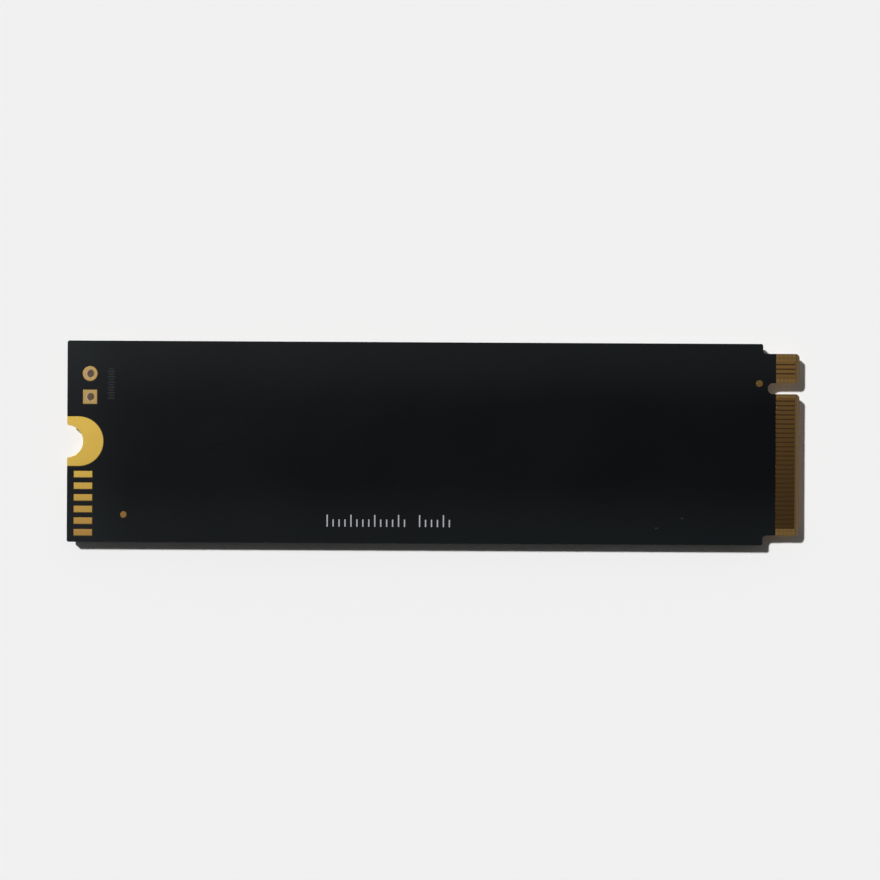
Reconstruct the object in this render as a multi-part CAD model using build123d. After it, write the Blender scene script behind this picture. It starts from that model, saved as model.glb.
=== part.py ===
from build123d import *
import math
import os

# A plug-in solid state drive card, 22 mm wide and 80 mm long, with every chip on
# one side. It lies on its chips with the bare side up. X runs along the card from
# the screw notch to the contact edge, Y runs across it and Z is up. The origin is
# under the middle of the card, on the surface that the card rests on.

# Card outline and layers
card_length = 80.0
card_width = 22.0
card_corner_cut = 0.15
laminate_thickness = 0.70
mask_thickness = 0.05
copper_thickness = 0.035
plating_thickness = 0.018
mask_clearance = 0.05
overrun = 1.0

# Contact tongue with its key slot
tongue_width = 19.85
tongue_length = 4.0
tongue_corner_radius = 0.45
shoulder_radius = 0.40
bevel_length = 0.45
bevel_depth = 0.15
key_offset = 6.125
key_width = 1.2
key_depth = 3.5

# Gold contacts, staggered by half a pitch from one face to the other
contact_pitch = 0.5
contact_width = 0.35
contact_length = 2.1
contact_tip_gap = 0.05
contact_side_margin = 0.60
contact_key_margin = 0.40

# Screw notch, plated round its wall and on both faces
notch_radius = 1.75
notch_mouth_radius = 0.20
notch_pad_radius = 2.70
notch_pad_setback = 1.25

# Two plated header holes, one in a round pad and one in a square pad
header_pitch = 2.54
header_hole_radius = 0.45
header_round_size = 1.60
header_square_size = 1.52
header_end_inset = 2.47
header_offset = 4.86

# Row of bare test pads beside the notch, on the bare side
test_pad_pitch = 1.27
test_pad_length = 2.00
test_pad_width = 0.68
test_pad_end_inset = 0.75
test_pad_notch_gap = 0.56
test_pad_edge_margin = 0.42

# Round alignment dots
dot_radius = 0.33
dot_end_inset = 6.17
dot_edge_inset = 3.02
dot_key_gap = 0.91
dot_key_offset = 0.56

# Printed scale of short strokes on the bare side
ink_thickness = 0.015
ink_stroke = 0.14
ink_long = 1.30
ink_short = 0.80
ink_pitch = 0.65
ink_group_gap = 1.00
ink_edge_inset = 1.81
ink_middle_offset = 4.55
ink_group_counts = (14, 6)
ink_interval_count = 4

# Flash memory packages
flash_length = 11.5
flash_width = 13.5
flash_mould = 0.75
flash_gap = 1.2
flash_notch_gap = 0.45
flash_ball_pitch = 1.0

# Controller package
controller_side = 11.0
controller_mould = 0.60
controller_power_gap = 1.3
controller_flash_gap = 1.2
controller_ball_pitch = 0.8

# What the ball packages share
ball_radius = 0.21
ball_side_count = 4
ball_height = 0.25
ball_edge_inset = 0.65
substrate_thickness = 0.20
dimple_radius = 0.45
dimple_side_count = 8
dimple_depth = 0.04
dimple_inset = 1.25

# Power management chip, a flat package on a metal slug with leads round its foot
power_side = 4.0
power_height = 0.75
power_setback = 5.4
power_offset = 3.10
power_lead_width = 0.25
power_lead_length = 0.43
power_lead_proud = 0.04
power_lead_thickness = 0.05
power_lead_pitch = 0.65
power_lead_count = 5
power_slug_side = 2.4

# Load switch, a small package with six bent leads
switch_length = 2.9
switch_width = 1.6
switch_height = 0.90
switch_standoff = 0.10
switch_power_gap = 1.6
switch_lead_width = 0.35
switch_lead_thickness = 0.13
switch_lead_pitch = 0.95
switch_side_lead_count = 3
switch_lead_exit = 0.60
switch_lead_reach = 0.60
switch_foot = 0.40

# Moulded power inductors
inductor_length = 2.34
inductor_width = 2.0
inductor_height = 0.90
inductor_gap = 0.60
inductor_first_gap = 1.60
inductor_count = 3
inductor_edge_cut = 0.20
inductor_plate = 0.08
inductor_foot = 0.60
inductor_riser = 0.55
inductor_terminal_width = 1.5

# Crystal in a ceramic case with a metal lid
crystal_length = 2.5
crystal_width = 2.0
crystal_case_height = 0.40
crystal_lid_height = 0.20
crystal_lid_inset = 0.15
crystal_lid_cut = 0.20
crystal_pad_width = 0.60
crystal_pad_spacing = 1.20
crystal_inset = 2.9
crystal_clear = 0.85

# Chip parts: length, width, height and length of each metal end cap
small_length, small_width, small_height, small_cap = 1.0, 0.50, 0.50, 0.24
large_length, large_width, large_height, large_cap = 1.6, 0.80, 0.80, 0.35
resistor_height = 0.32
bead_height = 0.60
cap_skin = 0.015
solder_toe = 0.18
solder_climb_share = 0.65

# Where the chip parts lie
part_clear = 0.30
row_gap = 0.35
flash_row_reach = 3.6
controller_row_pitch = 1.3
controller_row_margin = 0.85
coupling_setback = 1.75
coupling_pair_pitch = 2.9
coupling_leg = 0.45
coupling_pair_count = 4
bulk_pitch = 2.3

# Places that follow from the sizes
card_end = -card_length / 2
contact_edge = card_length / 2
tongue_root = contact_edge - tongue_length
flash_height = ball_height + substrate_thickness + flash_mould
controller_height = ball_height + substrate_thickness + controller_mould
switch_top = switch_standoff + switch_height
inductor_top = inductor_plate + inductor_height
crystal_height = crystal_case_height + crystal_lid_height
stand_height = max(flash_height, controller_height, switch_top, inductor_top,
                   power_height, crystal_height, large_height, small_height)
laminate_bottom = stand_height + mask_thickness
laminate_top = laminate_bottom + laminate_thickness
back_face = laminate_top + mask_thickness
drilled_notch = notch_radius + plating_thickness
drilled_header = header_hole_radius + plating_thickness
contact_tip = contact_edge - bevel_length - contact_tip_gap
mask_edge = contact_tip - contact_length
header_x = card_end + header_end_inset
square_place = (header_x, header_offset)
round_place = (header_x, header_offset + header_pitch)
back_dots = [
    (card_end + dot_end_inset, -card_width / 2 + dot_edge_inset),
    (contact_edge - key_depth - dot_key_gap, key_offset + dot_key_offset),
]
power_x = tongue_root - power_setback
controller_x = power_x - power_side / 2 - controller_power_gap - controller_side / 2


def block(size_x, size_y, size_z, x=0, y=0, z=0):
    """A block centred on x and y that stands on z."""
    standing = (Align.CENTER, Align.CENTER, Align.MIN)
    return Pos(x, y, z) * Box(size_x, size_y, size_z, align=standing)


def plate(outline, thickness, z):
    """A flat outline given a thickness, with its lower face at z."""
    return Pos(0, 0, z) * extrude(outline, thickness)


def nearest_corners(outline, points):
    """The outline's corners that lie nearest to the given points."""
    def distance(corner, x, y):
        return math.hypot(corner.X - x, corner.Y - y)

    return [min(outline.vertices(), key=lambda corner: distance(corner, x, y))
            for x, y in points]


def hung(shape, x, y, turn=0):
    """A part drawn standing on its seat, hung under the card's chip side."""
    return Pos(x, y, stand_height) * Rot(180, 0, 0) * Rot(0, 0, turn) * shape


def write(name, shapes):
    """Writes the solids of one sub-part to parts/NAME.step."""
    solids = [solid for shape in shapes for solid in shape.solids()]
    export_step(Compound(solids), f"parts/{name}.step")


# Card outline and what is let into it
def card_outline(notch):
    """The card seen from above, with the screw notch at the given radius."""
    half_tongue = tongue_width / 2
    half_card = card_width / 2
    slot_root = contact_edge - key_depth + key_width / 2
    body = Pos((card_end + tongue_root) / 2, 0) * Rectangle(tongue_root - card_end, card_width)
    tongue = Pos(tongue_root, 0) * Rectangle(2 * tongue_length, tongue_width)
    slot = Pos(slot_root, key_offset) * Circle(key_width / 2)
    slot_length = key_depth - key_width / 2 + overrun
    slot += Pos(slot_root + slot_length / 2, key_offset) * Rectangle(slot_length, key_width)
    outline = body + tongue - slot
    end_corners = [(x, side * half_card) for x in (card_end, tongue_root) for side in (-1, 1)]
    outline = chamfer(nearest_corners(outline, end_corners), card_corner_cut)
    inner_corners = [(tongue_root, side * half_tongue) for side in (-1, 1)]
    outline = fillet(nearest_corners(outline, inner_corners), shoulder_radius)
    lips = (-half_tongue, key_offset - key_width / 2, key_offset + key_width / 2, half_tongue)
    tongue_corners = [(contact_edge, y) for y in lips]
    outline = fillet(nearest_corners(outline, tongue_corners), tongue_corner_radius)
    outline -= Pos(card_end, 0) * Circle(notch)
    mouth = [(card_end, side * notch) for side in (-1, 1)]
    return fillet(nearest_corners(outline, mouth), notch_mouth_radius)


def notch_pad(grow=0):
    """The rounded land round the screw notch, grown by the given amount."""
    radius = notch_pad_radius + grow
    pad = Pos(card_end + notch_pad_setback, 0) * Circle(radius)
    return pad + Pos(card_end + notch_pad_setback / 2, 0) * Rectangle(notch_pad_setback, 2 * radius)


def test_pad_places():
    """The middles of the test pads, from the notch towards the card's side."""
    first = notch_pad_radius + test_pad_notch_gap + test_pad_width / 2
    room = card_width / 2 - test_pad_edge_margin - test_pad_width / 2 - first
    x = card_end + test_pad_end_inset + test_pad_length / 2
    return [(x, -first - i * test_pad_pitch) for i in range(math.floor(room / test_pad_pitch) + 1)]


def contact_rows():
    """The contacts' places across the tongue: the front row, then the back row."""
    span = tongue_width - 2 * contact_side_margin
    front_count = math.floor(span / contact_pitch) + 1
    clear = key_width / 2 + contact_key_margin
    rows = []
    for count in (front_count, front_count - 1):
        row = [(i - (count - 1) / 2) * contact_pitch for i in range(count)]
        rows.append([y for y in row if abs(y - key_offset) > clear])
    return rows


def bevel_cuts():
    """Wedges that bevel the contact edge on both faces."""
    start = contact_edge - bevel_length
    stop = contact_edge + overrun
    drop = bevel_depth * (stop - start) / bevel_length
    cuts = []
    for face, out in ((laminate_top, 1), (laminate_bottom, -1)):
        corners = [(start, face), (stop, face - out * drop),
                   (stop, face + out * overrun), (start, face + out * overrun)]
        side = Plane.XZ * make_face(Polyline(*corners, close=True))
        cuts.append(extrude(side, tongue_width / 2 + overrun, both=True))
    return cuts


def through_hole(place, radius):
    """A cutter for a round hole through the whole card."""
    depth = laminate_thickness + 2 * overrun
    return plate(Pos(*place) * Circle(radius), depth, laminate_bottom - overrun)


def laminate():
    """The glass and resin board with its drilled holes and bevelled edge."""
    board = plate(card_outline(drilled_notch), laminate_thickness, laminate_bottom)
    for place in (round_place, square_place):
        board -= through_hole(place, drilled_header)
    for wedge in bevel_cuts():
        board -= wedge
    return board


def mask_sheet(dots, pads, z):
    """One face's solder mask, open over every bare pad and over the contacts."""
    reach = mask_edge - card_end
    covered = Pos(card_end + reach / 2, 0) * Rectangle(reach, card_width)
    sheet = card_outline(drilled_notch) & covered
    sheet -= notch_pad(mask_clearance)
    sheet -= Pos(*round_place) * Circle(header_round_size / 2 + mask_clearance)
    opening = header_square_size + 2 * mask_clearance
    sheet -= Pos(*square_place) * Rectangle(opening, opening)
    for place in dots:
        sheet -= Pos(*place) * Circle(dot_radius + mask_clearance)
    for place in pads:
        sheet -= Pos(*place) * Rectangle(test_pad_length + 2 * mask_clearance,
                                         test_pad_width + 2 * mask_clearance)
    return plate(sheet, mask_thickness, z)


def notch_plating():
    """The gold lands on both faces and the plated wall that joins them."""
    finished = card_outline(notch_radius)
    wall = finished - card_outline(drilled_notch)
    land = notch_pad() & finished
    plating = plate(wall, laminate_thickness, laminate_bottom)
    plating += plate(land, copper_thickness, laminate_top)
    plating += plate(land, copper_thickness, laminate_bottom - copper_thickness)
    return plating


def header_plating(place, pad):
    """One plated hole: a land on each face and the barrel between them."""
    plating = plate(Pos(*place) * Circle(drilled_header), laminate_thickness, laminate_bottom)
    for z in (laminate_top, laminate_bottom - copper_thickness):
        plating += plate(Pos(*place) * pad, copper_thickness, z)
    return plating - through_hole(place, header_hole_radius)


def contacts_on(row, z):
    """One face's row of gold contacts."""
    x = contact_tip - contact_length / 2
    return [block(contact_length, contact_width, copper_thickness, x, y, z) for y in row]


def ink_scale():
    """A printed scale: groups of short strokes with a longer one at intervals."""
    bottom = -card_width / 2 + ink_edge_inset
    x = card_end + card_length / 2 - ink_middle_offset
    x -= (sum(ink_group_counts) * ink_pitch + ink_group_gap) / 2
    strokes = []
    for count in ink_group_counts:
        for i in range(count):
            height = ink_long if i % ink_interval_count == 0 else ink_short
            y = bottom + height / 2
            strokes.append(block(ink_stroke, height, ink_thickness, x + i * ink_pitch, y, back_face))
        x += count * ink_pitch + ink_group_gap
    return strokes


# Ball packages
def ball_ring(length, width, pitch):
    """The outermost balls of a package's grid, the ones seen from the side."""
    columns = math.floor((length - 2 * ball_edge_inset) / pitch) + 1
    rows = math.floor((width - 2 * ball_edge_inset) / pitch) + 1
    ball = extrude(RegularPolygon(ball_radius, ball_side_count), ball_height)
    places = [((i - (columns - 1) / 2) * pitch, (j - (rows - 1) / 2) * pitch)
              for i in range(columns) for j in range(rows)
              if i in (0, columns - 1) or j in (0, rows - 1)]
    return [Pos(x, y) * ball for x, y in places]


def moulded_cap(length, width, height, z):
    """A package's moulded top with the dimple that marks its first pin."""
    cap = block(length, width, height, z=z)
    corner = (-length / 2 + dimple_inset, width / 2 - dimple_inset)
    dimple = Pos(*corner) * RegularPolygon(dimple_radius, dimple_side_count)
    return cap - plate(dimple, 2 * dimple_depth, z + height - dimple_depth)


def ball_package(name, length, width, mould, pitch, x):
    """Writes one ball package: its balls, its substrate and its moulded cap."""
    balls = ball_ring(length, width, pitch)
    substrate = block(length, width, substrate_thickness, z=ball_height)
    cap = moulded_cap(length, width, mould, ball_height + substrate_thickness)
    write(f"{name}_balls", [hung(ball, x, 0) for ball in balls])
    write(f"{name}_substrate", [hung(substrate, x, 0)])
    write(f"{name}_body", [hung(cap, x, 0)])


def flash_places():
    """The middles of the flash packages that fit between controller and notch."""
    start = controller_x - controller_side / 2 - controller_flash_gap
    stop = card_end + notch_pad_setback + notch_pad_radius + flash_notch_gap
    pitch = flash_length + flash_gap
    count = math.floor((start - stop + flash_gap) / pitch)
    return [start - flash_length / 2 - i * pitch for i in range(count)]


# Power parts
def power_chip():
    """The power chip's body, its flat leads and the metal slug under it."""
    sheet = power_lead_thickness
    body = block(power_side, power_side, power_height - sheet, z=sheet)
    slug = block(power_slug_side, power_slug_side, sheet)
    reach = power_side / 2 + power_lead_proud - power_lead_length / 2
    lead = block(power_lead_length, power_lead_width, sheet, reach)
    spread = [(i - (power_lead_count - 1) / 2) * power_lead_pitch for i in range(power_lead_count)]
    leads = [Rot(0, 0, turn) * Pos(0, along, 0) * lead
             for turn in range(0, 360, 90) for along in spread]
    return body, leads, slug


def switch_chip():
    """The load switch's body and its six bent leads."""
    body = block(switch_length, switch_width, switch_height, z=switch_standoff)
    side = switch_width / 2
    knee = side + switch_lead_reach - switch_foot
    tip = side + switch_lead_reach
    top = switch_lead_exit
    sheet = switch_lead_thickness
    corners = [(side, top - sheet), (knee, top - sheet), (knee, 0), (tip, 0),
               (tip, sheet), (knee + sheet, sheet), (knee + sheet, top), (side, top)]
    bend = Plane.YZ * make_face(Polyline(*corners, close=True))
    lead = extrude(bend, switch_lead_width / 2, both=True)
    middle = (switch_side_lead_count - 1) / 2
    spread = [(i - middle) * switch_lead_pitch for i in range(switch_side_lead_count)]
    leads = [Rot(0, 0, turn) * Pos(x, 0, 0) * lead for turn in (0, 180) for x in spread]
    return body, leads


def inductor():
    """A moulded inductor's body, with cut corners, and its two bent terminals."""
    top = block(inductor_length, inductor_width, inductor_height, z=inductor_plate)
    body = chamfer(top.edges().filter_by(Axis.Z), inductor_edge_cut)
    end = inductor_length / 2
    corners = [(end - inductor_foot, 0), (end + inductor_plate, 0),
               (end + inductor_plate, inductor_riser), (end, inductor_riser),
               (end, inductor_plate), (end - inductor_foot, inductor_plate)]
    bend = Plane.XZ * make_face(Polyline(*corners, close=True))
    terminal = extrude(bend, inductor_terminal_width / 2, both=True)
    return body, [Rot(0, 0, turn) * terminal for turn in (0, 180)]


def crystal():
    """The crystal's ceramic case and the metal lid welded on it."""
    case = block(crystal_length, crystal_width, crystal_case_height)
    rim = Rectangle(crystal_length - 2 * crystal_lid_inset, crystal_width - 2 * crystal_lid_inset)
    rim = chamfer(rim.vertices(), crystal_lid_cut)
    return case, plate(rim, crystal_lid_height, crystal_case_height)


# Chip parts, and the solder that holds the larger ones
def solder_wedge(width, climb):
    """A fillet of solder against a wall at x = 0, spreading towards +X."""
    slope = Plane.XZ * make_face(Polyline((0, 0), (solder_toe, 0), (0, climb), close=True))
    return extrude(slope, width / 2, both=True)


def solder_pair(length, width, height):
    """The two solder fillets at the ends of a part of the given size."""
    wedge = Pos(length / 2, 0, 0) * solder_wedge(width, height * solder_climb_share)
    return [Rot(0, 0, turn) * wedge for turn in (0, 180)]


def chip_part(length, width, height, cap):
    """A chip part's body and its two metal end caps."""
    body = block(length - 2 * cap, width - 2 * cap_skin, height - 2 * cap_skin, z=cap_skin)
    ends = [block(cap, width, height, side * (length - cap) / 2) for side in (-1, 1)]
    return body, ends


def small_span():
    """The length that a small part takes with its solder."""
    return small_length + 2 * solder_toe


def flash_row_y(row):
    """How far out the nearer (0) or further (1) row beside the flash lies."""
    near = flash_width / 2 + part_clear + small_width / 2
    return near + row * (small_width / 2 + row_gap + large_width / 2)


def controller_row_y(row):
    """How far out the nearer (0) or further (1) row beside the controller lies."""
    return controller_side / 2 + part_clear + (row + 1 / 2) * small_span() + row * row_gap


def controller_row():
    """The places along the card of the parts of a row beside the controller."""
    span = controller_side - 2 * controller_row_margin
    count = math.floor(span / controller_row_pitch) + 1
    return [controller_x + (i - (count - 1) / 2) * controller_row_pitch for i in range(count)]


def inductor_y(i):
    """The place across the card of inductor i."""
    pitch = inductor_width + inductor_gap
    return power_offset - power_side / 2 - inductor_first_gap - inductor_width / 2 - i * pitch


def small_capacitor_places():
    """Where the small capacitors lie: x, y and turn in degrees."""
    places = []
    for x in flash_places():
        for side in (-1, 1):
            places += [(x + end * flash_row_reach, side * flash_row_y(0), 0) for end in (-1, 1)]
    for side in (-1, 1):
        places += [(x, side * controller_row_y(0), 90) for x in controller_row()]
    for pair in range(coupling_pair_count):
        middle = (pair - (coupling_pair_count - 1) / 2) * coupling_pair_pitch
        places += [(tongue_root - coupling_setback, middle + leg, 0)
                   for leg in (-coupling_leg, coupling_leg)]
    filter_x = power_x - inductor_length / 2 - inductor_plate - 2 * part_clear - small_width / 2
    places += [(filter_x, inductor_y(i), 90) for i in range(inductor_count)]
    x, y = crystal_place()
    return places + [(x + side * crystal_reach(), y, 90) for side in (-1, 1)]


def crystal_place():
    """The crystal's place: near the controller's end, in line with the further row."""
    x = controller_x + controller_side / 2 - crystal_inset
    return x, controller_row_y(1) + (crystal_width - small_span()) / 2


def crystal_reach():
    """How far from the crystal's middle its two load capacitors lie."""
    return crystal_length / 2 + crystal_clear


def large_capacitor_places():
    """Where the large capacitors lie."""
    places = [(x - bulk_pitch / 2, side * flash_row_y(1), 0)
              for x in flash_places() for side in (-1, 1)]
    return places + [(power_x + bulk_pitch / 2, below_inductors(), 0),
                     (power_x - bulk_pitch / 2, below_inductors(), 0)]


def below_inductors():
    """The row of large parts beyond the last inductor."""
    last = inductor_y(inductor_count - 1) - inductor_width / 2
    return last - part_clear - large_width / 2


def resistor_places():
    """Where the resistors lie."""
    places = [(x + bulk_pitch / 2 + part_clear, flash_row_y(1), 0) for x in flash_places()]
    places += [(x, -controller_row_y(1), 90) for x in controller_row()]
    stop = crystal_place()[0] - crystal_reach() - controller_row_pitch
    return places + [(x, controller_row_y(1), 90) for x in controller_row() if x < stop]


def bead_places():
    """Where the ferrite beads lie, beside the load switch."""
    x = power_x - power_side / 2 - part_clear - large_width / 2
    y = power_offset + power_side / 2 + part_clear + large_length / 2 + solder_toe
    return [(x, y, 90)]


def write_chip_parts(name, length, width, height, cap, places):
    """Writes the bodies and end caps of like parts."""
    body, ends = chip_part(length, width, height, cap)
    write(f"{name}_bodies", [hung(body, *place) for place in places])
    write(f"{name}_caps", [hung(end, *place) for place in places for end in ends])


def large_part_solder(height, places):
    """The solder at both ends of each large chip part of the given height."""
    wedges = solder_pair(large_length, large_width, height)
    return [hung(wedge, *place) for place in places for wedge in wedges]


def write_card():
    """Writes the board, its mask, its gold and its print."""
    pads = test_pad_places()
    front_row, back_row = contact_rows()
    write("board_laminate", [laminate()])
    write("solder_mask_back", [mask_sheet(back_dots, pads, laminate_top)])
    write("solder_mask_front", [mask_sheet([], [], stand_height)])
    write("edge_contacts_back", contacts_on(back_row, laminate_top))
    write("edge_contacts_front", contacts_on(front_row, laminate_bottom - copper_thickness))
    write("screw_notch_plating", [notch_plating()])
    write("header_hole_round", [header_plating(round_place, Circle(header_round_size / 2))])
    square = Rectangle(header_square_size, header_square_size)
    write("header_hole_square", [header_plating(square_place, square)])
    write("test_pads", [block(test_pad_length, test_pad_width, copper_thickness, x, y, laminate_top)
                        for x, y in pads])
    write("alignment_dots", [plate(Pos(*place) * Circle(dot_radius), copper_thickness, laminate_top)
                             for place in back_dots])
    write("printed_scale", ink_scale())


def write_packages():
    """Writes the controller and the flash packages."""
    ball_package("controller", controller_side, controller_side, controller_mould,
                 controller_ball_pitch, controller_x)
    for i, x in enumerate(flash_places()):
        ball_package(f"flash_{i + 1}", flash_length, flash_width, flash_mould, flash_ball_pitch, x)


def write_power_parts():
    """Writes the power chip, load switch, inductors and crystal; returns solder."""
    body, leads, slug = power_chip()
    write("power_chip_body", [hung(body, power_x, power_offset)])
    write("power_chip_leads", [hung(lead, power_x, power_offset) for lead in leads])
    write("power_chip_slug", [hung(slug, power_x, power_offset)])
    body, leads = switch_chip()
    switch_y = power_offset + power_side / 2 + switch_power_gap + switch_width / 2
    write("load_switch_body", [hung(body, power_x, switch_y)])
    write("load_switch_leads", [hung(lead, power_x, switch_y) for lead in leads])
    body, terminals = inductor()
    outer_length = inductor_length + 2 * inductor_plate
    wedges = solder_pair(outer_length, inductor_terminal_width, inductor_riser)
    solder = []
    for i in range(inductor_count):
        place = (power_x, inductor_y(i))
        write(f"inductor_{i + 1}_body", [hung(body, *place)])
        write(f"inductor_{i + 1}_terminals", [hung(terminal, *place) for terminal in terminals])
        solder += [hung(wedge, *place) for wedge in wedges]
    case, lid = crystal()
    write("crystal_case", [hung(case, *crystal_place())])
    write("crystal_lid", [hung(lid, *crystal_place())])
    corner_wedges = solder_pair(crystal_length, crystal_pad_width, crystal_case_height)
    shifts = (-crystal_pad_spacing / 2, crystal_pad_spacing / 2)
    return solder + [hung(Pos(0, shift, 0) * wedge, *crystal_place())
                     for wedge in corner_wedges for shift in shifts]


def write_small_parts():
    """Writes the capacitors, resistors and bead; returns the larger ones' solder."""
    write_chip_parts("small_capacitor", small_length, small_width, small_height,
                     small_cap, small_capacitor_places())
    write_chip_parts("large_capacitor", large_length, large_width, large_height,
                     large_cap, large_capacitor_places())
    write_chip_parts("resistor", small_length, small_width, resistor_height,
                     small_cap, resistor_places())
    write_chip_parts("ferrite_bead", large_length, large_width, bead_height,
                     large_cap, bead_places())
    solder = large_part_solder(large_height, large_capacitor_places())
    return solder + large_part_solder(bead_height, bead_places())


os.makedirs("parts", exist_ok=True)
write_card()
write_packages()
write("solder_fillets", write_power_parts() + write_small_parts())
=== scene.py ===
# %% [markdown]
# # A gumstick solid state drive, bare side up
# The object is a thin circuit board, 22 mm wide and 80 mm long, that lies on its
# chips. We see lacquer, gold and a little print from above, and a whole landscape of
# packages hangs under it. The CAD model already has every part in its right place, so
# this script gives each one its edges, its solder and its finish. Everything is in
# metres, as the CAD frame is, and sizes are written in millimetres times MM.

# %% Load the fixed frame
import bmesh
import bpy
import math
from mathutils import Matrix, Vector


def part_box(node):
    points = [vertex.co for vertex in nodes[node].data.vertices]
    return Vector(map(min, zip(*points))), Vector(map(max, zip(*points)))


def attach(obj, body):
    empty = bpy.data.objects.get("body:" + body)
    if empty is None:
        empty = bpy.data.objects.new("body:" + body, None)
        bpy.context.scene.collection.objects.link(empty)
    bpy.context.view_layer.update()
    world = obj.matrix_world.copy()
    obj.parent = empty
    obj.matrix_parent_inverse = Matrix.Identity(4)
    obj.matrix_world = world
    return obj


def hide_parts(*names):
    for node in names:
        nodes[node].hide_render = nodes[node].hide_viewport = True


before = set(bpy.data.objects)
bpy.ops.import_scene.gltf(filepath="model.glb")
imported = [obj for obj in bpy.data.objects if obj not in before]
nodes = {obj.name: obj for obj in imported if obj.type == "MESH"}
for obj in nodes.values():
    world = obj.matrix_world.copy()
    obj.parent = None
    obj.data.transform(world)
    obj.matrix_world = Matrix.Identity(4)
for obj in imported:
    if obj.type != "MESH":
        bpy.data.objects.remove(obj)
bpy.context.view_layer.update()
MM = 0.001

# %% [markdown]
# ## Heights of the card
# The card is a sandwich. Each piece that we add has to sit on one of its faces, so we
# read the faces' heights from the CAD nodes, and never guess them from the picture.
# The chip side is the lower one: its mask face is what the chips are soldered under.
# The contacts' places are needed twice, so their pitch and the key slot stand here too.

# %% Read the faces
back_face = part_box("solder_mask_back")[1].z
chip_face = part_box("solder_mask_front")[0].z
copper_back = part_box("edge_contacts_back")[1].z
copper_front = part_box("edge_contacts_front")[0].z
CONTACT_PITCH, CONTACT_WIDTH = 0.5, 0.35
KEY_PLACE, KEY_CLEAR = 6.125, 1.0


def contact_count(side):
    """How many places the contact row of one side has, with those that the slot takes."""
    low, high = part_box(f"edge_contacts_{side}")
    return round(((high.y - low.y) / MM - CONTACT_WIDTH) / CONTACT_PITCH) + 1


print("mask faces at", round(back_face / MM, 3), "and", round(chip_face / MM, 3), "mm")

# %% [markdown]
# ## Colours and nodes
# A hex colour is written as the eye sees it, and a renderer adds light in linear
# numbers, so one function turns the first into the second. A material is a small
# network of nodes. One helper fills a node's inputs, and another adds a node with its
# settings and its links. A third starts a material with its shader and the object's own
# coordinates, in metres, and the last copies a material in other colours.

# %% Colour and node helpers
FIRST_COLOUR, SECOND_COLOUR, MIXED_COLOUR = 6, 7, 2


def linear(hex_colour):
    """An sRGB hex colour as linear red, green, blue and alpha."""
    shares = [int(hex_colour[i:i + 2], 16) / 255 for i in (1, 3, 5)]
    return [s / 12.92 if s <= 0.04045 else ((s + 0.055) / 1.055) ** 2.4 for s in shares] + [1.0]


def fill_inputs(node, inputs):
    """Gives each named input of a node its value, or a socket to be linked from."""
    for key, value in inputs.items():
        if isinstance(value, bpy.types.NodeSocket):
            node.id_data.links.new(value, node.inputs[key])
        else:
            node.inputs[key].default_value = value


def add_node(tree, kind, inputs=None, **settings):
    """Adds a node with its settings, and with its inputs filled."""
    node = tree.nodes.new(kind)
    for name, value in settings.items():
        setattr(node, name, value)
    fill_inputs(node, inputs or {})
    return node


def new_material(name):
    """An empty material: its tree, its shader and its object coordinates."""
    material = bpy.data.materials.new(name)
    material.use_nodes = True
    tree = material.node_tree
    tree.nodes.clear()
    shader = add_node(tree, "ShaderNodeBsdfPrincipled")
    add_node(tree, "ShaderNodeOutputMaterial", {"Surface": shader.outputs["BSDF"]})
    place = add_node(tree, "ShaderNodeTexCoord")
    return material, tree, shader, place


def retinted(source, name, colours):
    """A copy of a material, with new colours on its mixes of the given names."""
    material = source.copy()
    material.name = name
    for label, pair in colours.items():
        for socket, colour in zip((FIRST_COLOUR, SECOND_COLOUR), pair):
            material.node_tree.nodes[label].inputs[socket].default_value = linear(colour)
    return material


def grains(size):
    """The noise scale whose grains are the given number of millimetres wide."""
    return 1 / (size * MM)


def bands(size):
    """The wave scale whose bands lie the given number of millimetres apart."""
    return math.pi / (10 * size * MM)


print("black is", linear("#000000"), "and white is", linear("#FFFFFF"))

# %% [markdown]
# ## Black solder mask
# The card's black skin is an epoxy lacquer, sprayed on as a liquid and cured. It looks
# nearly black from above, and what the eye reads as its colour is mostly a soft mirror
# of the room. So the colour stays close to black, the IOR is that of epoxy, and a wide,
# shallow ripple (the orange peel of every sprayed lacquer) breaks the reflection. The
# ripple on a real card is about half a millimetre wide and a few microns deep. A plain
# black would look like a hole in the picture. Towards the card's long sides and its notch
# end the tone is painted a shade greyer: a painted sheen that stands in for reflected
# light there.

# %% Black solder mask
PEEL_WIDTH = 0.6
PEEL_DEPTH = 0.0030
CLOUD_WIDTH = 9.0
SHEEN_FROM_HALF, CARD_HALF = 3.0, 11.0
SHEEN_FROM_END, CARD_END = 32.0, 40.0
black_mask, tree, shader, place = new_material("black_solder_mask")
peel = add_node(tree, "ShaderNodeTexNoise", {"Vector": place.outputs["Object"],
                                             "Scale": grains(PEEL_WIDTH), "Detail": 2.0})
cloud = add_node(tree, "ShaderNodeTexNoise", {"Vector": place.outputs["Object"],
                                              "Scale": grains(CLOUD_WIDTH), "Detail": 3.0})
tone = add_node(tree, "ShaderNodeMix", {"Factor": cloud.outputs["Fac"],
                                        FIRST_COLOUR: linear("#050607"),
                                        SECOND_COLOUR: linear("#080A0C")}, data_type="RGBA",
                name="tone")
across = add_node(tree, "ShaderNodeSeparateXYZ", {"Vector": place.outputs["Object"]})
from_middle = add_node(tree, "ShaderNodeMath", {0: across.outputs["Y"]}, operation="ABSOLUTE")
# Painted sheen: the mask turns greyer towards the long sides and the notch end, standing in for
# reflected light.
sheen_to_sides = add_node(tree, "ShaderNodeMapRange", {
    "Value": from_middle.outputs["Value"], "From Min": SHEEN_FROM_HALF * MM, "From Max": CARD_HALF * MM,
    "To Min": 0.0, "To Max": 1.0}, interpolation_type="SMOOTHSTEP")
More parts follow.
